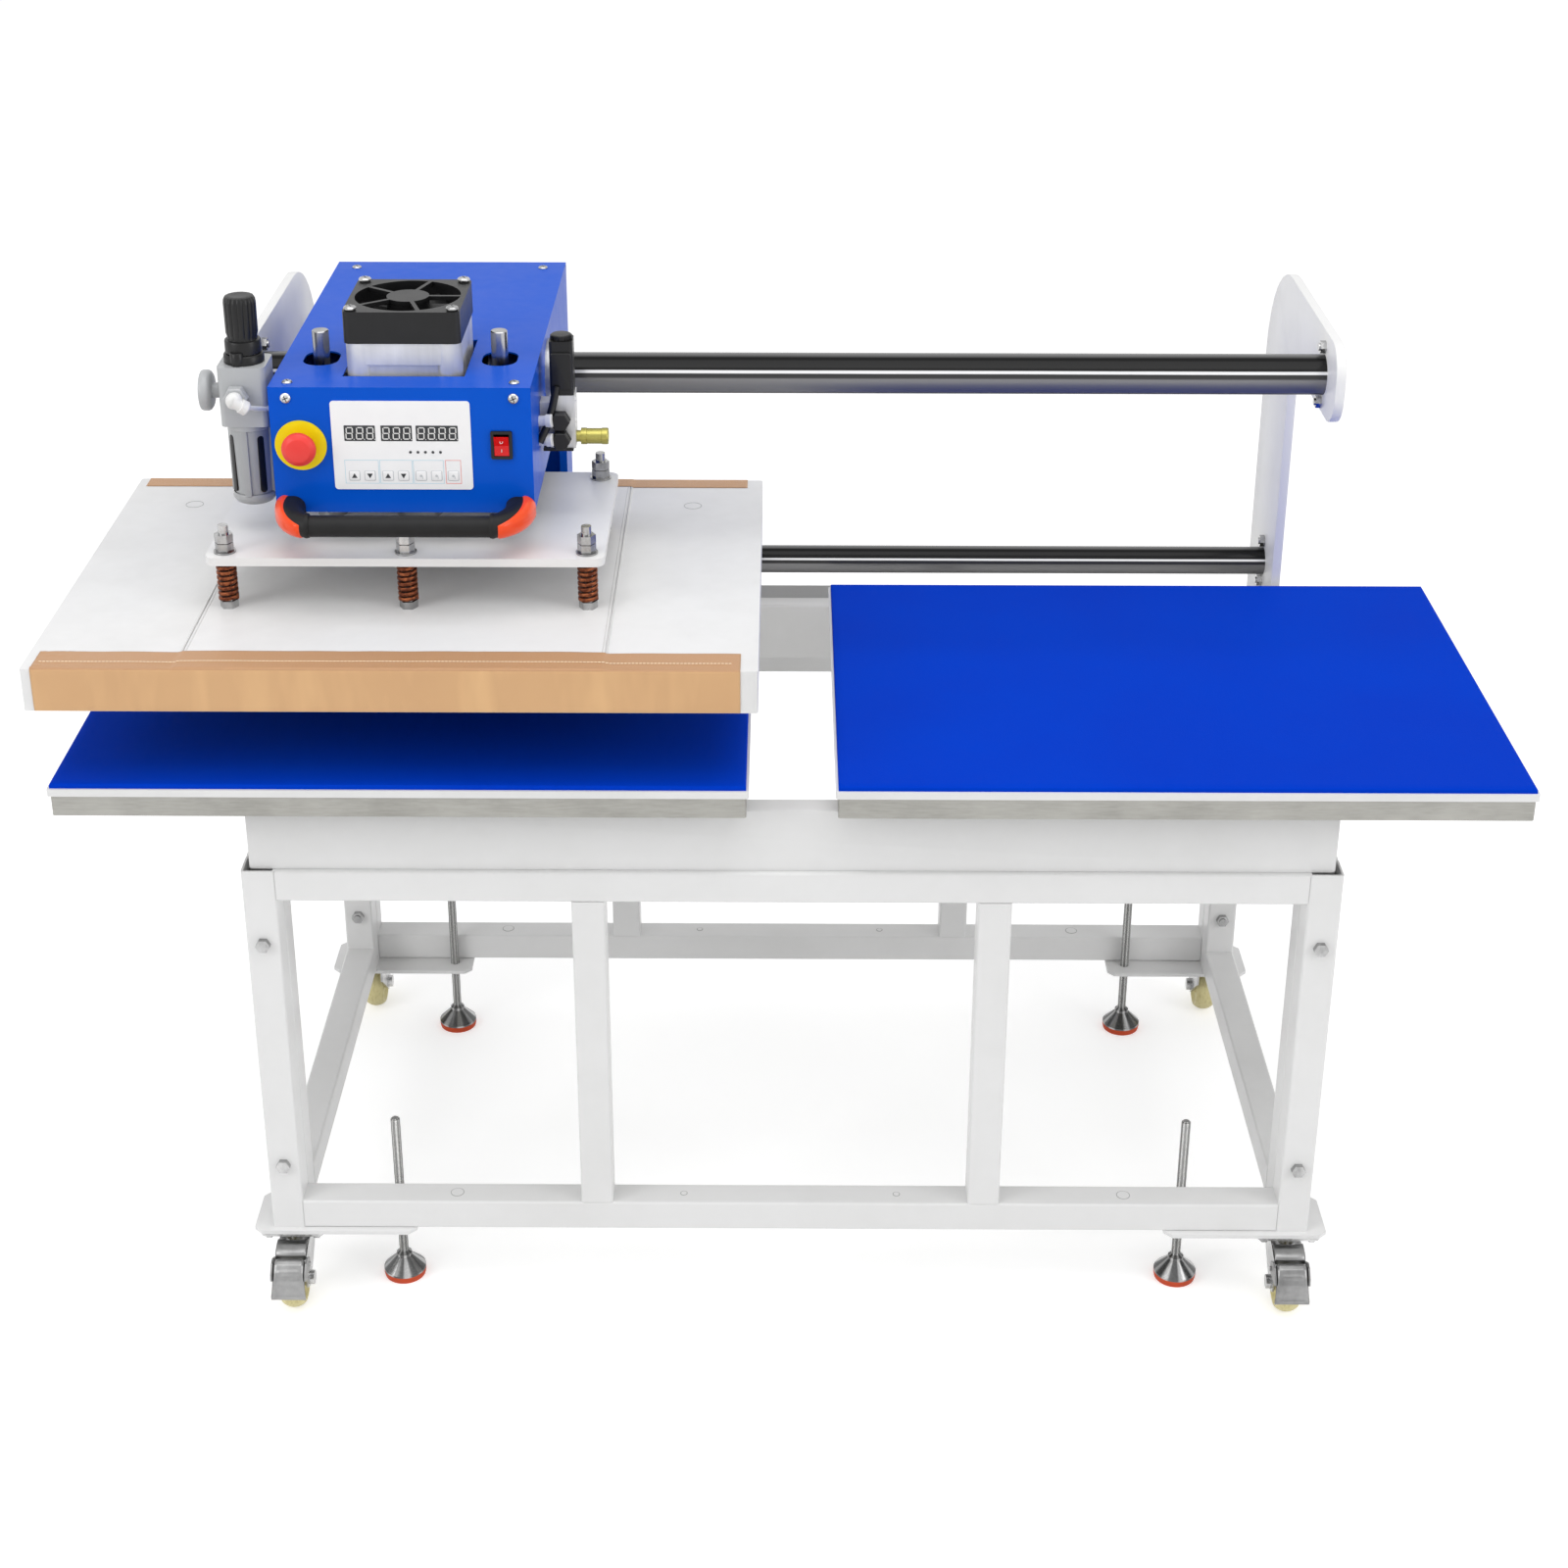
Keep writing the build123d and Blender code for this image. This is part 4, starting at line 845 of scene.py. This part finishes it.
face = bmesh.new()
for x0, x1, count in ((14.5, 50.5, 3), (57, 93, 3), (97.5, 146, 4)):
    printed((x0 + x1) / 2, display_row, rounded(x1 - x0, 19, 0.8, 3), -0.3, 0.3, DARK, 0.1)
    pitch = (x1 - x0) / count
    for digit in range(count):
        x = x0 + pitch * (digit + 0.5)
        for sx, sy in SEGMENTS:
            bar = block(1.2, 6.1) if sx else block(5.6, 1.2)
            lean = 0.6 * sy
            printed(x + sx * 3.5 + lean, display_row - sy * 6.9, bar, 0.1, 0.45, LIGHT)
        printed(x + 5.2, display_row + 7.4, ring_outline(0.6, 10), 0.1, 0.4, LIGHT)
for index in range(5):
    where = panel @ Matrix.Translation((90 + 8.7 * index, -lamp_row, 0))
    turned(face, where, [(1.7, -0.2), (1.7, 0.3), (1.1, 0.9), (0, 1.1)], 16, DARK)
for index, x in enumerate((23.5, 41.5, 62.5, 80.5, 101, 119, 138.5)):
    printed(x, key_row, rounded(13, 12.5, 1.6, 3), -0.2, 0.3, EDGE, 0.1)
    printed(x, key_row, rounded(11.5, 11, 1.2, 3), -0.2, 0.9, FILM, 0.45)
    if index in (0, 2):
        printed(x, key_row, [(-3.3, -2.7), (3.3, -2.7), (0, 3.1)], 0.5, 1.05, DARK)
    elif index in (1, 3):
        printed(x, key_row, [(0, -3.1), (3.3, 2.7), (-3.3, 2.7)], 0.5, 1.05, DARK)
    else:
        printed(x, key_row, ring_outline(1.6, 18), 0.5, 1.05, EDGE)
        printed(x + 1.6, key_row + 2, block(0.9, 3.0), 0.5, 1.0, EDGE)
for x0, x1 in ((13, 52), (53.5, 91), (92.5, 127.5)):
    printed_frame(x0, x1, 0.5, CYAN)
printed_frame(130, 147.5, 0.6, RED)
panel_finishes = [DARK_MARK, LIGHT_MARK, finishes["panel_white"], CYAN_LINE, RED_LINE, KEY_EDGE]
piece("panel_face", face, "head", "panel_white", panel_finishes)


# Emergency stop cap and rocker marks
cap_low, cap_high = mm_box("estop_button")
cap_x, cap_z = (cap_low.x + cap_high.x) / 2, (cap_low.z + cap_high.z) / 2
cap = bmesh.new()
turned(cap, facing_front(cap_x, cap_low.y, cap_z), [
    (0, -22), (8, -22), (8, -10), (19.2, -10), (20, -9.2), (20, -6.4), (19.4, -4.6), (17.6, -2.9),
    (14.8, -1.4), (14.0, -0.7), (13.4, -0.5), (0, -0.25),
], 56)
piece("estop_cap", cap, "estop", "estop_red", smooth=50, replaces=("estop_button",))

rocker_low, rocker_high = mm_box("rocker")
rocker_x = (rocker_low.x + rocker_high.x) / 2
rocker_z = (rocker_low.z + rocker_high.z) / 2
marks = bmesh.new()
ring = placed((rocker_x, head_y - 4.6, rocker_z + 5.6), (0, -1, 0.34))
turned(marks, ring, [(1.9, -0.6), (1.9, 0.12), (1.35, 0.12), (1.35, -0.6)], 24)
stroke = placed((rocker_x, head_y - 3.4, rocker_z - 5.6), (0, -1, -0.04))
slab(marks, stroke, block(0.7, 3.6), -0.6, 0.12)
piece("rocker_marks", marks, "switch", "rocker_red", [LIGHT_MARK])


# Handle ends: black arms that bend into the bar, with an orange inlay on the outer lower side
def handle_ends():
    """Both arms of the pull handle and their inlays."""
    bar_low, bar_high = mm_box("handle_tube")
    bar_y, bar_z = (bar_low.y + bar_high.y) / 2, (bar_low.z + bar_high.z) / 2
    reach = 30
    arms, inlays = bmesh.new(), bmesh.new()
    steps, count = 44, 96

    def spot(side, share, angle, proud):
        """Place on an arm: share runs from the bar to the head, the angle is 0 outside and 90 on top."""
        bend = share * math.pi / 2
        inner = bar_high.x if side > 0 else bar_low.x
        collar = 1.1 * max(0.0, 1 - abs(share - 0.06) / 0.07)
        width = 13.4 + 3.4 * share + collar + proud
        height = 13.6 + 2.6 * share + collar + proud
        square = 1 + 0.10 * share * abs(math.sin(2 * angle))
        outward = Vector((side * math.sin(bend), -math.cos(bend), 0))
        back = bar_y + (head_y - bar_y) * (1 - math.cos(bend)) ** 0.9
        centre = Vector((inner + side * reach * math.sin(bend), back, bar_z + 0.5))
        place = centre + outward * width * square * math.cos(angle)
        place.z += height * square * math.sin(angle)
        place.y = min(place.y, head_y)
        return place * MM

    def inlay(share, degrees):
        """How far inside the inlay's edge, in degrees."""
        top = 8 + 74 * share ** 0.85
        return min(top - degrees, degrees + 120, (share - 0.14) * 230)

    for side in (-1, 1):
        rings = []
        for step in range(steps + 1):
            share = step / steps
            angles = [2 * math.pi * k / count for k in range(count)]
            rings.append([arms.verts.new(spot(side, share, angle, 0)) for angle in angles])
        skin(arms, rings)
        made = {}
        for step in range(steps):
            for k in range(count):
                cells = [(step, k), (step, k + 1), (step + 1, k + 1), (step + 1, k)]
                shares = [(s / steps, (a / count * 360 + 180) % 360 - 180) for s, a in cells]
                if max(inlay(*place) for place in shares) < 0:
                    continue
                corners = []
                for (s, a), place in zip(cells, shares):
                    key = (s, a % count)
                    if key not in made:
                        inside = clamped(inlay(*place) / 16)
                        proud = -0.5 + 1.9 * math.sin(inside * math.pi / 2)
                        angle = 2 * math.pi * a / count
                        made[key] = inlays.verts.new(spot(side, s / steps, angle, proud))
                    corners.append(made[key])
                inlays.faces.new(corners)
    piece("handle_arms", arms, "head", "grip_black", smooth=60, replaces=("handle_brackets",))
    piece("handle_inlays", inlays, "head", "bracket_orange", smooth=180)


handle_ends()


# Air preparation unit
def fluted_knob():
    """Knob with grip flutes above its plain collar."""
    low, high = mm_box("regulator_knob")
    x, y = (low.x + high.x) / 2, (low.y + high.y) / 2
    shape = bmesh.new()
    count, flutes = 96, 16
    rings = []
    levels = [
        (21, 0, 0), (21, 12.5, 0), (20.4, 14, 0), (17.6, 14.6, 0.0), (17.4, 18, 1), (18.6, 22, 1),
        (18.8, 56, 1), (18.2, 60, 1), (16.6, 62.8, 0.5), (14, 63.6, 0), (9, 63.2, 0),
    ]
    tall = (high.z - low.z) / 63.6
    for radius, height, flute in levels:
        ring = []
        for k in range(count):
            angle = 2 * math.pi * k / count
            cut = 1.1 * flute * max(0.0, math.cos(flutes * angle)) ** 2
            reach = radius - cut
            spot = Vector((x + reach * math.cos(angle), y + reach * math.sin(angle), low.z + height * tall))
            ring.append(shape.verts.new(spot * MM))
        rings.append(ring)
    skin(shape, rings)
    piece("regulator_grip", shape, "knob", "black_plastic", smooth=40, replaces=("regulator_knob",))


fluted_knob()

unit_low = mm_box("unit_body")[0]
bowl_low, bowl_high = mm_box("unit_bowl")
bowl_x, bowl_y = (bowl_low.x + bowl_high.x) / 2, (bowl_low.y + bowl_high.y) / 2
def round_bowl(shape, turn, radius, height, outline, proud, edge):
    """Strip down one side of the bowl, turned from the front."""
    out = Vector((math.sin(math.radians(turn)), -math.cos(math.radians(turn)), 0))
    slab(shape, placed(Vector((bowl_x, bowl_y, height)) + out * radius, out), outline, -2, proud, edge)


knob_seat = 1183           # where the knob's collar stands on the unit
trim = bmesh.new()
turned(trim, facing_up(bowl_x - 4, bowl_y - 19, knob_seat), [
    (6, 0), (6, 4), (8, 4.2), (8, 15), (7.2, 16), (0, 16),
], 28)
turned(trim, facing_up(bowl_x, bowl_y, knob_seat), [
    (20, 0), (23.5, 0.6), (23.5, 9), (22, 11), (20, 11.4),
], 48)
for turn in (-52, 38, 128, 218):
    round_bowl(trim, turn, 24.8, 1062, rounded(8, 70, 3.5, 5), 0.3, 0.2)
piece("unit_trim", trim, "head", "black_plastic", smooth=40)

ribs = bmesh.new()
for turn in (-7, 83, 173, 263):
    round_bowl(ribs, turn, 24.6, 1064, rounded(9, 84, 4, 5), 1.4, 0.9)
turned(ribs, placed((bowl_x, bowl_y, bowl_low.z), (0, 0, -1), (0, 1, 0)), [
    (24.6, -12), (25.5, -10), (25.5, -5), (22, -0.5), (20, 0.6), (0, 0.6),
], 48)
piece("bowl_ribs", ribs, "head", "bowl_steel", smooth=40)

elbow = bmesh.new()
inlet = Vector((-640.5, unit_low.y, 1149))
turned(elbow, facing_front(inlet.x, inlet.y + 15, inlet.z), [
    (13.5, -6), (14.5, -5), (14.5, 5), (13, 6.4), (8, 6.4),
], 6, 0)
turned(elbow, facing_front(inlet.x, inlet.y + 8, inlet.z), [
    (7.5, -3), (9.5, 0), (9.8, 5), (8.6, 9), (5, 11.4), (0, 12),
], 28, 1)
down = Vector((0.72, 0.28, -0.52)).normalized()
turned(elbow, placed(inlet, down), [(7, -2), (7, 9), (8.6, 9.4), (8.6, 17), (7.4, 18.4), (3, 18.4)], 28, 1)
run = [inlet + down * s + Vector((0, 0.008 * s * s, 0.004 * s * s)) for s in range(16, 52, 4)]
tube(elbow, [point * MM for point in run], 2.9 * MM, 14, 1)
piece("unit_elbow", elbow, "head", "unit_grey", [finishes["unit_grey"], LIGHT_MARK], smooth=40)

collars = bmesh.new()
turned(collars, facing_up(bowl_x, bowl_y, bowl_high.z), [
    (24.5, 0), (26.2, -0.6), (26.4, -6.5), (25.3, -7.5),
], 48)
piece("unit_collars", collars, "head", "unit_grey", smooth=40)

gauge_low, gauge_high = mm_box("pressure_gauge")
gauge_y, gauge_z = (gauge_low.y + gauge_high.y) / 2, (gauge_low.z + gauge_high.z) / 2
dial = placed((gauge_low.x, gauge_y, gauge_z), (-1, 0, 0))
gauge = bmesh.new()
case = bmesh.new()
turned(case, dial, [
    (9, -25.5), (9, -13.5), (20, -13), (23, -11), (24, -8.6), (24, -3), (23, -0.7), (21.4, 0), (19.4, 0),
    (18.6, -1.4),
], 64, 0)
turned(case, dial, [(18.8, -1.6), (18.6, -1.4), (0, -1.4)], 64, 1)
case_finishes = [finishes["unit_grey"], finishes["gauge_face"]]
piece("gauge_case", case, "head", "gauge_face", case_finishes, smooth=40, replaces=("pressure_gauge",))
for tick in range(25):
    angle = math.radians(225 - 270 * tick / 24)
    length = 3.2 if tick % 4 == 0 else 1.8
    radius = 15.8 - length / 2
    turn = dial @ Matrix.Rotation(angle, 4, "Z") @ Matrix.Translation((radius, 0, 0))
    slab(gauge, turn, block(length, 0.55), -1.6, -1.25, 0, 0)
needle = dial @ Matrix.Rotation(math.radians(205), 4, "Z")
slab(gauge, needle, [(-4, -0.9), (12.5, -0.25), (12.5, 0.25), (-4, 0.9)], -1.1, -0.8, 0, 1)
turned(gauge, dial, [(1.9, -1.6), (1.9, -0.5), (0, -0.3)], 16, 0)
piece("gauge_parts", gauge, "head", "unit_grey", [DARK_MARK, RED_LINE], smooth=40)


# Solenoid valve fittings
valve_low, valve_high = mm_box("valve_body")
coil_low, coil_high = mm_box("valve_coil")
fittings = bmesh.new()
valve_x = (coil_low.x + coil_high.x) / 2 - 2
for rise in (14, 38):
    turned(fittings, facing_front(valve_x, valve_low.y, valve_low.z + rise), [
        (10, -14), (12.4, -13.4), (12.4, -9.6), (11.2, -9), (11.2, -7.8), (12, -7.2), (12, -4.4),
        (11, -3.8), (11, -2.8), (11.8, -2.4), (11.8, -0.8), (10.6, 0.2), (0, 0.4),
    ], 6)
coil_cap = facing_up((coil_low.x + coil_high.x) / 2, (coil_low.y + coil_high.y) / 2, coil_high.z)
turned(fittings, coil_cap, [(12.4, -3), (12.4, 5), (11, 6), (4, 6.4), (0, 6.4)], 32)
teeth = 24
for k in range(teeth):
    turn = Matrix.Rotation(2 * math.pi * k / teeth, 4, "Z")
    slab(fittings, coil_cap @ turn @ Matrix.Translation((12.4, 0, 0)), block(1.4, 1.5), -2, 4.4)
plug = facing_front(coil_low.x + 14, coil_low.y, coil_low.z + 30)
slab(fittings, plug, rounded(24, 46, 3, 4), -2, 3.4, 1.2)
under = Vector(((valve_low.x + valve_high.x) / 2, (valve_low.y + valve_high.y) / 2 + 8, valve_low.z))
slab(fittings, placed(under, (0, 0, -1), (0, 1, 0)), block(36, 34), -0.5, 3)
lead = [coil_low + Vector(step) for step in ((8, -2, 12), (4, -7, -8), (-3, -18, -32), (-12, -26, -50))]
tube(fittings, [point * MM for point in lead], 4.6 * MM, 16)
piece("valve_fittings", fittings, "head", "black_plastic", smooth=30)

elbows = bmesh.new()
for z in (1100, 1076):
    turned(elbows, placed((head_x + head_half, valve_low.y + 4, z), (1, -0.2, 0.1)), [
        (6.5, -2), (6.5, 9), (8, 9.4), (8, 16), (7, 17), (0, 17),
    ], 24)
for z in (1121, 1094):
    pan_screw(elbows, placed((valve_high.x, valve_low.y + 24, z), (1, 0, 0)), 2.6, 1.6)
piece("valve_elbows", elbows, "head", "cylinder_aluminium", [LIGHT_MARK, DARK_MARK], smooth=40)

column_foot = 1140         # where the cylinder's four columns start
columns = bmesh.new()
barrel_low, barrel_high = mm_box("cylinder_caps")
for x in (barrel_low.x + 15, barrel_high.x - 15):
    for y in (barrel_low.y + 15, barrel_high.y - 15):
        column = [(16.5, 0), (16.5, barrel_high.z - column_foot - 0.4)]
        turned(columns, facing_up(x, y, column_foot), column, 36)
piece("cylinder_columns", columns, "head", "cylinder_aluminium", smooth=60)

silencer_low, silencer_high = mm_box("silencer")
sleeve = bmesh.new()
middle = (silencer_low + silencer_high) / 2
long = silencer_high.x - silencer_low.x
turned(sleeve, placed((silencer_low.x, middle.y, middle.z), (1, 0, 0)), [
    (7, 0), (7, 5), (10, 5.4), (10, 12), (9.4, 12.4), (9.4, long - 8), (10, long - 7.6), (10, long - 1),
    (9.2, long), (6.4, long), (6.2, long - 3), (0, long - 3),
], 36)
piece("silencer_sleeve", sleeve, "head", "brass", smooth=35, replaces=("silencer",))


# Brake pedals: bent strip with turned down sides, pressed ribs, a lip and two ears
pedal_sheet, ear_sheet = 1.6, 2.2
pin_height = 68            # brake pin above the floor
pedal_reach = 81.5         # a caster's swivel axis to the tip of its pedal


def brake_pedal(name, body):
    """Pressed pedal plate and the two ears that hang it on its pin."""
    low, high = mm_box(name)
    middle = (low.x + high.x) / 2
    half = (high.x - low.x) / 2
    side = [
        (high.y - 17, high.z - 2.6), (high.y - 21, high.z - 2), (high.y - 26, high.z - 4.5),
        (high.y - 32, high.z - 12), (high.y - 36.5, high.z - 22), (high.y - 39, high.z - 31),
        (low.y + 2, low.z + 9), (low.y + 1.1, low.z + 5), (low.y + 1.3, low.z + 2), (low.y + 3, low.z + 0.6),
    ]
    profile = []
    for first, second in zip(side, side[1:]):
        for step in range(5):
            profile.append(Vector(first).lerp(Vector(second), step / 5))
    profile.append(Vector(side[-1]))
    shape = bmesh.new()
    columns = 26
    grid = []
    for index, point in enumerate(profile):
        ahead = profile[min(index + 1, len(profile) - 1)] - profile[max(index - 1, 0)]
        out = Vector((ahead.y, -ahead.x)).normalized()
        share = index / (len(profile) - 1)
        flare = 0.9 + 0.1 * clamped((share - 0.35) / 0.4) ** 1.6
        row = []
        for column in range(columns + 1):
            across = column / columns * 2 - 1
            fold = max(0.0, (abs(across) - 0.8) / 0.2)
            ribs = max(0.0, math.sin((share - 0.3) * 62.8)) * (0.3 < share < 0.5) * (abs(across) < 0.62)
            dish = (0.5 < share < 0.72) * (abs(across) < 0.72)
            dish += 0.8 * (0.8 < share < 0.92) * (abs(across) < 0.9)
            inset = -6.5 * fold * fold * max(0.0, 1 - share / 0.85) + 0.9 * ribs - 0.7 * dish
            x = middle + across * (half - 0.9) * flare
            row.append(shape.verts.new(Vector((x, point.x + out.x * inset, point.y + out.y * inset)) * MM))
        grid.append(row)
    sheet_faces(shape, grid)
    thicken(piece(f"{name}_plate", shape, body, "pedal_steel", smooth=60, replaces=(name,)), pedal_sheet)
    ears = bmesh.new()
    lobe = softened([
        (high.y - 0.3, low.z + 24.5), (high.y - 0.3, high.z - 10), (high.y - 14, high.z - 2.4),
        (high.y - 24, high.z - 4.4), (high.y - 33, high.z - 14), (high.y - 36, high.z - 23),
        (high.y - 28, high.z - 23.5), (high.y - 8, high.z - 24.5),
    ], (4, 4, 3, 3, 3, 1.5, 3, 3), 6)
    eye = ring_outline(3.3, 20, high.y - 7.05, pin_height)
    outline = lobe + [lobe[0]] + list(reversed(eye)) + [eye[-1]]
    for face_x in (low.x + 0.1, high.x - 0.1 - ear_sheet):
        slab(ears, from_side(face_x), outline, 0, ear_sheet)
    piece(f"{name}_ears", ears, body, "pedal_steel", smooth=35)


brake_pedal("caster_front_left_pedal", "pedal_front_left")
brake_pedal("caster_front_right_pedal", "pedal_front_right")


# Fork hoods: the bent sheet that closes a front fork between its cheeks, above the pedal
def fork_hood(fork, pedal, body):
    """Closed front of a fork, and the bearing race over it."""
    fork_low, fork_high = mm_box(fork)
    pedal_low, pedal_high = mm_box(pedal)
    middle = (pedal_low.x + pedal_high.x) / 2
    swivel_y = pedal_low.y + pedal_reach
    shape = bmesh.new()
    grid = []
    for step in range(17):
        angle = math.pi / 2 * min(1.0, step / 12)
        y = fork_low.y + 26 - 21 * math.sin(angle)
        z = fork_high.z - 17 + 9 * math.cos(angle) - 1.2 * max(0, step - 12)
        grid.append([
            shape.verts.new(Vector((middle + 19.1 * (k / 8 - 1), y + 2.2 * (k / 8 - 1) ** 4, z)) * MM)
            for k in range(17)
        ])
    sheet_faces(shape, grid)
    thicken(piece(f"{fork}_hood", shape, body, "pedal_steel", smooth=60), pedal_sheet)
    race = bmesh.new()
    turned(race, facing_up(middle, swivel_y, fork_high.z - 6.5), [
        (14, -1), (20.5, -0.6), (22.6, 1), (22.6, 3.2), (21, 4.4), (18, 4.6), (18, 6), (14, 6),
    ], 56)
    piece(f"{fork}_race", race, body, "pedal_steel", smooth=50)


fork_hood("caster_front_left_fork", "caster_front_left_pedal", "fork_front_left")
fork_hood("caster_front_right_fork", "caster_front_right_pedal", "fork_front_right")


# Weld seams along the hood's raised middle, coloured a darker grey as painted shade, and a round mark on
# either side behind
hood_low, hood_high = mm_box("platen_hood")
seams = bmesh.new()
for x in (head_x - panel_half, head_x + panel_half):
    for side in (-1, 1):
        points = []
        for step in range(121):
            y = hood_low.y + 44 + (hood_high.y - hood_low.y - 66) * step / 120
            sway = 0.3 * noise.noise(Vector((x + side, y / 16, 0.5)))
            points.append(Vector((x + sway + 2.3 * side, y, hood_high.z - 0.9 + 0.2 * sway)) * MM)
        tube(seams, points, 1.25 * MM, 10)
for x in (-324, 324):
    where = facing_up(head_x + x, hood_high.y - 95, hood_high.z - 1.5)
    turned(seams, where, [(11.5, -0.3), (11.5, 0.3), (10.9, 0.3), (10.9, -0.2)], 36, 1)
piece("hood_seams", seams, "platen", "board_white", [SEAM_SHADE_GREY, SEAM_GREY], smooth=60)


# Floor, light and camera
floor_mesh = bmesh.new()
bmesh.ops.create_grid(floor_mesh, x_segments=1, y_segments=1, size=30)
mesh = bpy.data.meshes.new("studio_floor")
floor_mesh.to_mesh(mesh)
floor_mesh.free()
floor = bpy.data.objects.new("studio_floor", mesh)
bpy.context.scene.collection.objects.link(floor)
ground = Finish("studio_floor_white", Roughness=0.9, Specular_IOR_Level=0.0, Emission_Strength=0.46)
ground.shader.inputs["Base Color"].default_value = (0.86, 0.86, 0.86, 1)
seen = ground.node("ShaderNodeLightPath")
shown = seen("Is Camera Ray").most(seen("Is Glossy Ray")).most(seen("Is Transmission Ray"))
ground.feed("Emission Color", ground.between(shown, (0, 0, 0, 1), (1, 1, 1, 1)))
mesh.materials.append(ground.material)

world = bpy.data.worlds.new("studio")
bpy.context.scene.world = world
world.use_nodes = True


class Sky(Finish):
    """The world's nodes, made in the same way."""

    def __init__(self, tree):
        self.tree = tree


sky = Sky(world.node_tree)
path = sky.node("ShaderNodeLightPath")
direct = path("Is Camera Ray").most(path("Is Glossy Ray")).most(path("Is Transmission Ray"))
up = sky.node("ShaderNodeSeparateXYZ", {"Vector": sky.node("ShaderNodeTexCoord")("Generated")})("Z")
shade = sky.between(sky.ramp(up, -0.15, 0.85), (0.50, 0.50, 0.50, 1), (0.68, 0.68, 0.68, 1))
tone = sky.between(direct, shade, (1, 1, 1, 1))
world.node_tree.links.new(tone.socket, world.node_tree.nodes["Background"].inputs["Color"])
world.node_tree.nodes["Background"].inputs["Strength"].default_value = 1.0


def lamp(name, place, target, size, power):
    """Large soft panel that points at the machine."""
    data = bpy.data.lights.new(name, "AREA")
    data.shape = "RECTANGLE"
    data.size, data.size_y = size
    data.energy = power
    made = bpy.data.objects.new(name, data)
    bpy.context.scene.collection.objects.link(made)
    made.location = place
    made.rotation_euler = (Vector(target) - Vector(place)).to_track_quat("-Z", "Y").to_euler()


lamp("lamp_overhead", (0.0, -0.9, 3.6), (0, 0, 0.7), (3.2, 2.4), 44)
lamp("lamp_left", (-3.2, -2.4, 2.4), (-0.2, 0, 0.8), (1.6, 2.2), 39)
lamp("lamp_right", (3.4, -2.0, 2.0), (0.2, 0, 0.8), (1.6, 2.2), 33)

camera = bpy.data.cameras.new("camera")
camera.sensor_width = 36
camera.lens = 59.42
camera.shift_x = 0.009
camera.shift_y = -0.0854
camera.clip_end = 100
view = bpy.data.objects.new("camera", camera)
bpy.context.scene.collection.objects.link(view)
view.location = (-0.0058, -3.01965, 2.1140)
view.rotation_euler = (math.radians(65.76), -0.001, 0.006)
bpy.context.scene.camera = view
bpy.context.scene.view_settings.view_transform = "Standard"

bpy.context.view_layer.update()
